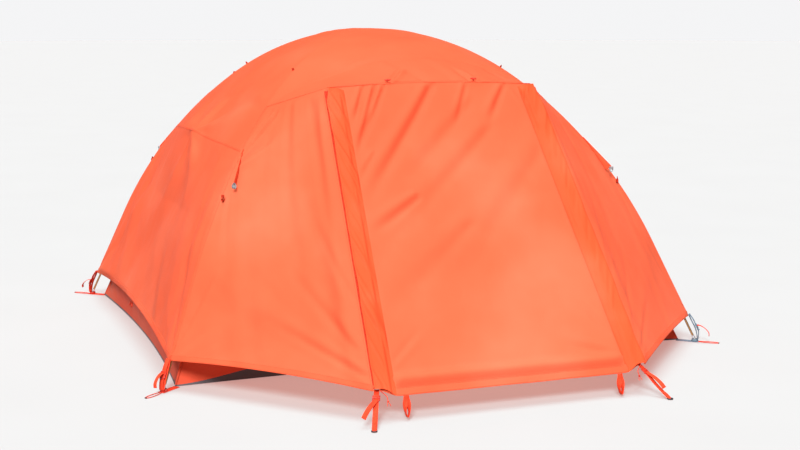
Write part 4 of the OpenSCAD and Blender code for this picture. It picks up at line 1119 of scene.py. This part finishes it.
# Paths along the strap's axes: (down it, across it, out of it)
STRAP_STEPS = [(-0.020, 0, 0.0010), (0.03, 0, 0.0004), (0.07, 0, -0.0016), (0.11, 0, -0.001),
               (STRAP_LEN - 0.010, 0, 0.0012)]
STRAP_WRAP = [(STRAP_LEN - 0.034, 0, 0.0022), (STRAP_LEN - 0.014, 0, 0.0036), (STRAP_LEN - 0.006, 0, 0.0030),
              (STRAP_LEN - 0.0035, 0, 0.0006)]
STRAP_STUB = [(-0.012, 0, 0.0012), (-0.004, 0, 0.0026), (0.003, 0, 0.0030), (0.007, 0, 0.0022)]
# A strap's free tail: the second number is a share of how far it swings aside
STRAP_TAIL = [(0.024, 0, 0.0034), (0.036, 0.12, 0.0070), (0.062, 0.5, 0.0130), (0.090, 0.85, 0.0150),
              (0.112, 1.1, 0.0120)]
TAIL_SWINGS = {1: -0.034, -1: -0.004}
LEG_TAIL = [(0, 0, 0), (0.010, 0, 0.013), (0.028, 0.002, 0.025), (0.048, 0.005, 0.031),
            (0.062, 0.007, 0.026)]
LEG_TAIL_RUN, LEG_TAIL_OFF = 1.996, 0.028
BAR_PITCH = 0.0018
DOOR_LOOP_AT = [0.408, 1.556, 0.083]
LOOP_TILT = math.radians(12)


def buckle(shape, at, axes, length, width, slot=0):
    """A ladder-lock: two side rails and three bars, with a lifted thumb tab."""
    x, y, z = axes
    w = width / 2
    for k in (-1, 1):
        steps = ((0, 0), (0.3 * length, 0.0012), (0.7 * length, 0.0014), (length, 0.0004))
        tube(shape, spline([at + x * a + y * k * w + z * c for a, c in steps], 5), 0.0019, 10, slot)
    for a, c, r in ((0.04, 0.0004, 0.0019), (0.5, 0.0022, 0.0017), (0.96, 0.0006, 0.0021)):
        bar = [at + x * a * length + y * k * w + z * c for k in (-1, -0.4, 0.4, 1)]
        tube(shape, spline(bar, 4), r, 10, slot)
    tab = [at + x * (length * b) + z * c for b, c in ((0.96, 0.001), (1.08, 0.0026), (1.2, 0.0050))]
    ribbon(shape, spline(tab, 4), z, width * 0.7, 0.0018, slot)


def ring(shape, at, normal, radius, thick, slot):
    normal = unit(normal)
    a = unit(np.cross(normal, [0.31, 0.17, 0.9]))
    b = np.cross(normal, a)
    k = np.linspace(0, 2 * math.pi, 33)
    tube(shape, at + radius * (np.cos(k)[:, None] * a + np.sin(k)[:, None] * b), thick, 10, slot)


def make_stake_straps():
    """A tension strap at each lower door corner with its stake ring, and its buckle, stub and free tail."""
    tails, buckles = Shape(), Shape()
    for name, sign in QUARTERS.items():
        shape = Shape()
        up = quarter(STRAP_Z, sign)
        main = resample(frame_path(STRAP_HEAD, STRAP_AXES, STRAP_STEPS), 0.004)
        ribbon(shape, quarter(main, sign), up, WEBBING_W, WEBBING_T)
        over = frame_path(STRAP_HEAD, STRAP_AXES, STRAP_WRAP)
        ribbon(shape, quarter(over, sign), up, WEBBING_W * 0.86, WEBBING_T)
        for a in (0.030, 0.026):
            start = STRAP_HEAD + (STRAP_LEN - a) * STRAP_X
            bar = [start + k * STRAP_Y + 0.0032 * STRAP_Z for k in np.linspace(-0.007, 0.007, 8)]
            stitches(shape, quarter(bar, sign), up, 0.0, BAR_PITCH, 1)
        ring(shape, quarter(STAKE + [0, 0, 0.0040], sign), UP, 0.0085, 0.0024, 2)
        body, node = "tension_strap_" + name, "strap_" + name
        shape.build(node + "_webbing", body, [TAPE, THREAD, PLASTIC], "orange_webbing", node)
        swing = TAIL_SWINGS[sign[0] * sign[1]]
        steps = [(a, share * swing, c) for a, share, c in STRAP_TAIL]
        path = quarter(resample(frame_path(STRAP_HEAD, STRAP_AXES, steps), 0.004), sign)
        lean = up + np.linspace(0, 0.5, len(path))[:, None] * quarter(STRAP_Y, sign)
        ribbon(tails, path, lean, WEBBING_W * 0.92, WEBBING_T)
        at = STRAP_HEAD + 0.006 * STRAP_X + 0.0006 * STRAP_Z
        buckle(buckles, quarter(at, sign), [quarter(v, sign) for v in STRAP_AXES], 0.022, 0.023)
        stub = frame_path(STRAP_HEAD, STRAP_AXES, STRAP_STUB)
        ribbon(tails, quarter(stub, sign), up, WEBBING_W, WEBBING_T)
    for sign in QUARTERS.values():
        p, x, across, out = leg_frame(LEG_TAIL_RUN, LEG_TAIL_OFF)
        path = resample(frame_path(p, (x, across, out), LEG_TAIL), 0.003)
        ribbon(tails, quarter(path, sign), quarter(out + 0.4 * x, sign), WEBBING_W * 0.85, WEBBING_T)
    tails.build("webbing_tails_hanging", "tent", TAPE, "orange_webbing", "webbing_tails")
    buckles.build("vestibule_buckles_moulded", "tent", ORANGE_PLASTIC, "dark_plastic", "vestibule_buckles")


def make_door_loops(side):
    shape = Shape()
    for name, sign in QUARTERS.items():
        if name.startswith(side):
            at = quarter(DOOR_LOOP_AT, sign)
            down = quarter([0, math.sin(LOOP_TILT), -math.cos(LOOP_TILT)], sign)
            hang_loop(shape, at, ACROSS, down, 0.018, 0.074)
            out = np.array([0, sign[1], 0])
            bar = at + np.linspace(-0.008, 0.008, 8)[:, None] * ACROSS + down * 0.010 + out * 0.0022
            stitches(shape, bar, out, 0.0, BAR_PITCH, 1)
    loops = "door_loops_" + side
    shape.build(loops + "_webbing", "fly_door_" + side, [TAPE, THREAD], "orange_webbing", loops)


make_stake_straps()
for side_name in SIDES:
    make_door_loops(side_name)

# --- pole corners ----------------------------------------------------------------------------

TAB_STEPS = [(-0.076, 0, 0.0016), (-0.040, 0, 0.0018), (-0.014, 0, 0.0014), (0.008, 0, 0.0014),
             (0.016, 0, 0.0026)]
# The cup's section, as (radius, height)
CUP = [(0.0100, 0.0024), (0.0128, 0.0024), (0.0136, 0.0050), (0.0132, 0.0105), (0.0120, 0.0122),
       (0.0106, 0.0118), (0.0101, 0.0095), (0.0100, 0.0024)]
CORNER_RUN, CORNER_OFF = 1.990, 0.023
CORNER_UPPER = [(-0.050, 0, -0.0040), (-0.020, 0, 0.0008), (0.0, 0, 0.0002), (0.026, 0, 0.0006)]
CORNER_LOWER = [(-0.048, 0.001, -0.0075), (-0.020, 0.004, -0.0072), (0.020, 0.006, -0.0070)]


def lathe(shape, at, profile, sides, slot):
    """Turns a profile of (radius, height) about an upright axis."""
    k = np.arange(sides) * 2 * math.pi / sides
    P = np.array([[[r * math.cos(a), r * math.sin(a), h] for a in k] for r, h in profile]) + at
    shape.grid(P, slot=slot, wrap=True)


def make_corners():
    """A ground tab and cup at each pole's foot, and the strap and buckle that tension the fly to it.

    The near right corner is blue grey, as in the photo, and the others are orange.
    """
    ground, straps, locks = Shape(), Shape(), Shape()
    for name, sign in QUARTERS.items():
        tint = 1 if name == "near_right" else 0
        origin, out, across = corner_frame(sign)
        tab = resample(frame_path(origin, (out, across, UP), TAB_STEPS), 0.004)
        ribbon(ground, quarter(tab, sign), UP, 0.027, 0.0018, tint)
        for a in (-0.060, -0.048):
            bar = [origin + out * a + across * k + UP * 0.0029 for k in np.linspace(-0.011, 0.011, 12)]
            stitches(ground, quarter(bar, sign), UP, 0.0, 0.002, 2)
        lathe(locks, quarter(origin, sign), CUP, 28, tint)
        p, x, across_leg, leg_out = leg_frame(CORNER_RUN, CORNER_OFF)
        foot = origin + out * 0.0135 + UP * 0.0105
        upper, lower = ([p + a * x + b * across_leg + c * leg_out for a, b, c in steps]
                        for steps in (CORNER_UPPER, CORNER_LOWER))
        upper += [upper[-1] * 0.4 + foot * 0.6 + out * 0.002, foot]
        lower += [foot + across * 0.006]
        for points, width in ((upper, WEBBING_W), (lower, WEBBING_W * 0.9)):
            path = resample(spline(points, 6), 0.004)
            ribbon(straps, quarter(path, sign), quarter(leg_out, sign), width, WEBBING_T, tint)
        axes = [quarter(v, sign) for v in (x, across_leg, leg_out)]
        buckle(locks, quarter(p, sign), axes, 0.024, 0.022, tint)
    tapes, plastics = [TAPE, GREY_TAPE], [ORANGE_PLASTIC, GREY_PLASTIC]
    ground.build("corner_tabs_webbing", "tent", [*tapes, THREAD], "orange_webbing", "corner_tabs")
    straps.build("corner_straps_webbing", "tent", tapes, "orange_webbing", "corner_straps")
    locks.build("corner_buckles_moulded", "tent", plastics, "dark_plastic", "corner_buckles")


make_corners()

# --- inner tent ------------------------------------------------------------------------------

TUB_LEAN, CORNER_TUCK, CORNER_ROUND = 0.003, 0.040, 0.09
WALL_SLOPE = (WALL_FOOT[0] - WALL_CROWN[0]) / (WALL_CROWN[1] - WALL_FOOT[1])
WALL_N = unit([0, 1.0, WALL_SLOPE])
BARREL_OFF = -0.061
BARREL_FOOT = run_at(TUB_H, LOWER_TOP) - 0.035
INNER_DOOR_W, INNER_DOOR_LOW, INNER_DOOR_TOP, INNER_DOOR_R = 0.640, 0.180, 0.900, 0.230
CLIP_RUNS = (0.340, 0.600, 0.860, 1.150, 1.440, 1.720)
CLIP_GAP = 0.28
WRAP_RUNS = (0.700, 1.260)


def floor_edge(side, k):
    """Plan of one side of the floor, k from -1 to 1; the long and the short sides both curve inward."""
    bow = 1 - k * k
    if side in ("left", "right"):
        x = FLOOR_X / 2 - END_SAG * bow
        return np.stack([(1 if side == "right" else -1) * x, k * (FLOOR_Y / 2)], -1)
    y = FLOOR_Y / 2 - SIDE_SAG * bow
    return np.stack([k * (FLOOR_X / 2), (1 if side == "far" else -1) * y], -1)


def make_floor():
    """Tub floor: a dark sheet that also covers the foot of each wall, 9 mm high along the ends, and on the
    long sides from 6 mm at the corners to 56 mm along their middle, with coloured walls above it.
    """
    base, wall = Shape(), Shape()
    s, t = np.meshgrid(span(60, -1, 1), span(50, -1, 1))
    x = s * (FLOOR_X / 2 - END_SAG * (1 - t * t) - 0.003)
    y = t * (FLOOR_Y / 2 - SIDE_SAG * (1 - s * s) - 0.003)
    rise = 0.0018 + 0.0012 * (1 + noise(x * 7 + 3, y * 7 + 5)) * (1 - np.maximum(s ** 8, t ** 8))
    base.grid(np.stack([x, y, rise], -1), -UP)
    k = span(110, -1, 1)
    for side, inward in (("left", (1, 0)), ("right", (-1, 0)), ("near", (0, 1)), ("far", (0, -1))):
        is_end = side in ("left", "right")
        length = (FLOOR_Y if is_end else FLOOR_X) / 2
        from_corner = length * (1 - np.abs(k))
        rounding = CORNER_TUCK * bell(from_corner / CORNER_ROUND)
        top = 0.009 + 0 * k if is_end else 0.006 + 0.050 * ease(from_corner / 0.45)
        for shape, low, high, rows in ((base, 0.0018, top, 4), (wall, top, TUB_H, 9)):
            z = low + (high - low) * span(rows)[:, None]
            up = z / TUB_H
            crumple = 0.0035 * noise(k * length * 11 + len(side) * 3.3, z * 16) * up * (1 - up * 0.4)
            crumple = crumple + 0.0016 * ripples(k * length, z, 40, 0.03, 0.12, 4.4) * up
            lean = TUB_LEAN + up * (0.008 + rounding) + crumple * ease(from_corner / 0.06)
            along = np.array([0, 1] if is_end else [1, 0])
            plan = floor_edge(side, k + 0 * z) + lean[..., None] * np.array(inward)
            plan = plan + (-np.sign(k) * rounding * up)[..., None] * along
            shape.grid(np.concatenate([plan, z[..., None]], -1), np.array([0, 0, 0.06]))
    ground = base.build("tub_floor_cloth", "tent", GROUND, "floor_fabric", "floor_sheet")
    sides = wall.build("tub_walls_cloth", "tent", TUB, "tub_fabric", "floor_walls")


def barrel(run):
    """The inner canopy's arch, inside the lower pole: across the tent, and up."""
    p = arch(np.abs(run), BARREL_OFF, LOWER_TOP)
    return np.sign(run) * p[..., 0] * PLAN[0], p[..., 1]


def wall_y(z):
    return WALL_FOOT[0] - (z - WALL_FOOT[1]) * WALL_SLOPE


def make_inner_canopy():
    """The net barrel, which is drawn up to each clip and sags between them."""
    run, t = np.meshgrid(span(120, -BARREL_FOOT, BARREL_FOOT), span(50, -1, 1), indexing="ij")
    x, z = barrel(run)
    P = np.stack([x, t * (wall_y(z) - 0.003), z], -1)
    fill = 1 - t * t
    clips = np.cos(math.pi * run / CLIP_GAP) * 0.0025
    dip = (clips - 0.006) * fill * ease((BARREL_FOOT - np.abs(run)) / 0.1)
    P = P + outward_normals(P) * (dip + 0.0014 * noise(run * 9, t * 6) * fill)[..., None]
    shape = Shape()
    shape.grid(P, INSIDE)
    covers = ("inner_roof", "inner_end_left", "inner_end_right")
    sheet = shape.build("inner_canopy_net", "tent", NET, "mesh", *covers)


def door_outline(grow, steps=14):
    """Outline of the inner door on its wall as (across, up), anticlockwise from its lower left corner."""
    half, r = INNER_DOOR_W / 2, INNER_DOOR_R
    low, top = INNER_DOOR_LOW - grow, INNER_DOOR_TOP
    turn = np.linspace(0, math.pi / 2, steps)
    right = [(half - r + (r + grow) * math.cos(a), top - r + (r + grow) * math.sin(a)) for a in turn]
    left = [(-x, y) for x, y in reversed(right)]
    return np.array([(-half - grow, low), (half + grow, low), *right, *left])


def on_wall(points, y_sign, out=0.0):
    """Points (across, up) put on a sloped wall, moved out of it."""
    points = np.asarray(points, float)
    P = np.stack([points[..., 0], wall_y(points[..., 1]), points[..., 1]], -1) + out * WALL_N
    return P * [1, y_sign, 1]


def around(outline, centre, angles):
    """Where rays from centre meet a closed outline."""
    closed = np.concatenate([outline, outline[:1]])
    dense = np.concatenate([a + (b - a) * span(60)[:-1, None] for a, b in zip(closed[:-1], closed[1:])])
    d = dense - centre
    angle, radius = np.arctan2(d[:, 1], d[:, 0]), np.hypot(d[:, 0], d[:, 1])
    order = np.argsort(angle)
    r = np.interp(angles, angle[order], radius[order], period=2 * math.pi)
    return centre + r[:, None] * np.stack([np.cos(angles), np.sin(angles)], -1)


def make_inner_wall(side, y, zips):
    """A net wall from its door's hole out to the barrel, and the door's zip round the hole."""
    outer = np.stack(barrel(np.linspace(BARREL_FOOT, -BARREL_FOOT, 121)), -1)
    centre = np.array([0, 0.5])
    hole = door_outline(0.006)
    corners = [math.atan2(p[1] - centre[1], p[0]) for p in (*hole[:2], outer[0], outer[-1])]
    angles = np.sort(np.concatenate([np.linspace(-math.pi, math.pi, 241)[:-1], corners]))
    t = span(18)[:, None, None]
    points = around(hole, centre, angles)[None] * (1 - t) + around(outer, centre, angles)[None] * t
    ripple = 0.0022 * noise(points[..., 0] * 9 + 4, points[..., 1] * 9) * np.sin(math.pi * t[..., 0])
    P = on_wall(points, y) + ripple[..., None] * WALL_N * [1, y, 1]
    shape = Shape()
    uv = np.concatenate([points, points[:, :1]], 1)
    shape.grid(np.concatenate([P, P[:, :1]], 1), INSIDE, uv=uv)
    sheet = shape.build("inner_wall_" + side + "_net", "tent", NET, "mesh", "inner_wall_" + side)
    line = resample(on_wall(door_outline(0.004), y, 0.0004), 0.006)
    ribbon(zips, line, WALL_N * [1, y, 1], 0.003, 0.0012)


def make_inner_doors():
    zips = Shape()
    z = INNER_DOOR_LOW + 0.001 + (INNER_DOOR_TOP - INNER_DOOR_LOW - 0.003) * span(60)
    arc = np.clip(z - (INNER_DOOR_TOP - INNER_DOOR_R), 0, INNER_DOOR_R)
    half = INNER_DOOR_W / 2 - INNER_DOOR_R + np.sqrt(np.maximum(INNER_DOOR_R ** 2 - arc ** 2, 0)) - 0.001
    k = span(40, -1, 1)
    points = np.stack([k[None] * half[:, None], np.broadcast_to(z[:, None], (61, 41))], -1)
    slack = 0.0030 * noise(points[..., 0] * 7 + 8, points[..., 1] * 6) * (1 - k[None] ** 2)
    rim = door_outline(-0.007)
    for side, y in SIDES.items():
        make_inner_wall(side, y, zips)
        name, body, shape, edge = "inner_door_" + side, "inner_door_" + side, Shape(), Shape()
        shape.grid(on_wall(points, y) - slack[..., None] * WALL_N * [1, y, 1], INSIDE, uv=points)
        sheet = shape.build(name + "_net", body, NET, "mesh", name)
        line = resample(on_wall(np.concatenate([rim, rim[:1]]), y, 0.0006), 0.006)
        ribbon(edge, line, WALL_N * [1, y, 1], 0.010, 0.0010)
        edge.build(name + "_binding", body, BLACK_TAPE, "black_webbing")
    zips.build("inner_zip_coils", "tent", BLACK_TAPE, "zip_black", "inner_zips")


def make_ties():
    """Webbing from each clip down to the net, and the fly's wraps round the poles."""
    straps, wraps = Shape(), Shape()
    for sign in QUARTERS.values():
        top = pole_top(sign)
        for run in CLIP_RUNS:
            p, _, across, out = leg_frame(run, 0, top)
            past = (p[1] - WALL_FOOT[0]) * WALL_N[1] + (p[2] - WALL_FOOT[1]) * WALL_N[2]
            reach = max(CANOPY_GAP + top - LOWER_TOP, past / float(out @ WALL_N)) - 0.003
            ends = [p - out * reach, p - out * (reach * 0.5), p - out * 0.0145]
            ribbon(straps, quarter(spline(ends, 5), sign), quarter(across, sign), 0.012, 0.0014)
        for run in WRAP_RUNS:
            p, _, across, out = leg_frame(run, 0, top)
            k = np.linspace(0, 2 * math.pi, 25)[:, None]
            turn = np.cos(k) * across + np.sin(k) * out
            line = p + turn * (POLE_D / 2 + 0.0010)
            ribbon(wraps, quarter(line, sign), quarter(turn, sign), 0.020, 0.0012)
    straps.build("clip_straps_webbing", "tent", BLACK_TAPE, "black_webbing", "clip_straps")
    wraps.build("fly_pole_wraps", "tent", BLACK_TAPE, "black_webbing", "fly_pole_ties")


make_floor()
make_inner_canopy()
make_inner_doors()
make_ties()

# --- parts kept from the CAD -----------------------------------------------------------------

FINISHES = {"main_pole_a": POLE, "main_pole_b": POLE, "brow_pole": POLE, "pole_ferrules": BARE,
            "pole_tips": BARE, "shock_cords": ELASTIC, "crossing_hub": PLASTIC, "pole_clips": PLASTIC,
            **{"slider_" + q: METAL for q in QUARTERS}}

for node_name, finish in FINISHES.items():
    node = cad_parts[node_name]
    node.data.materials.clear()
    node.data.materials.append(finish)

# --- stage, light and finish -----------------------------------------------------------------

# Brightness of the studio by the sine of the height above the horizon: pale low down, with a soft top light
SKY = [(0.10, 0.455), (0.20, 0.05), (0.70, 0.08), (0.90, 0.60)]
SKY_STRENGTH = 2.0
# The floor glows a little by itself, in a warm tint, and its paint is cool. Together they look white in
# full light and pink in the tent's shadow, in place of the light that comes through the real cloth.
FLOOR_GLOW, FLOOR_GLOW_TINT = 0.50, (1, 0.54, 0.50, 1)
FLOOR_PAINTS = [(0.3, (0.135, 0.216, 0.222)), (0.7, (0.140, 0.222, 0.228))]
FLOOR_R, FLOOR_Z = 60, -0.0005


def make_floor_disc():
    k = Nodes("pale_floor")
    paint = k.ramp(k.noise(k.place, 1.5, 2.0), FLOOR_PAINTS)
    settings = {"Base Color": paint, "Roughness": 0.85, "Specular IOR Level": 0.1,
                "Emission Color": FLOOR_GLOW_TINT, "Emission Strength": FLOOR_GLOW}
    material = k.finish(k.new("BsdfPrincipled", settings))
    place = (0, 0, FLOOR_Z)
    bpy.ops.mesh.primitive_circle_add(vertices=128, radius=FLOOR_R, fill_type="NGON", location=place)
    floor = bpy.context.object
    floor.name = "floor"
    floor.data.materials.append(material)


def make_sky():
    world = bpy.data.worlds.new("studio")
    bpy.context.scene.world = world
    world.use_nodes = True
    tree = world.node_tree
    back = tree.nodes["Background"]
    place = tree.nodes.new("ShaderNodeTexCoord")
    parts = tree.nodes.new("ShaderNodeSeparateXYZ")
    ramp = tree.nodes.new("ShaderNodeValToRGB")
    tree.links.new(place.outputs["Generated"], parts.inputs[0])
    tree.links.new(parts.outputs["Z"], ramp.inputs["Fac"])
    tree.links.new(ramp.outputs["Color"], back.inputs["Color"])
    ramp.color_ramp.elements.new(0.5)
    ramp.color_ramp.elements.new(0.7)
    for element, (height, bright) in zip(ramp.color_ramp.elements, SKY):
        element.position = height
        element.color = (bright, bright, bright * 1.01, 1)
    back.inputs["Strength"].default_value = SKY_STRENGTH


def make_sun(name, towards, spread, strength):
    """A broad, even light; towards points at it, and spread is its width in degrees."""
    data = bpy.data.lights.new(name, "SUN")
    data.angle = math.radians(spread)
    data.energy = strength
    lamp = bpy.data.objects.new(name, data)
    lamp.rotation_euler = Vector(towards).to_track_quat("Z", "Y").to_euler()
    bpy.context.scene.collection.objects.link(lamp)


make_floor_disc()
make_sky()
make_sun("key", (-0.36, -0.70, 0.62), 18, 6.6)
make_sun("top", (0.02, 0.06, 0.99), 40, 3.4)
bpy.context.scene.view_settings.view_transform = "Standard"
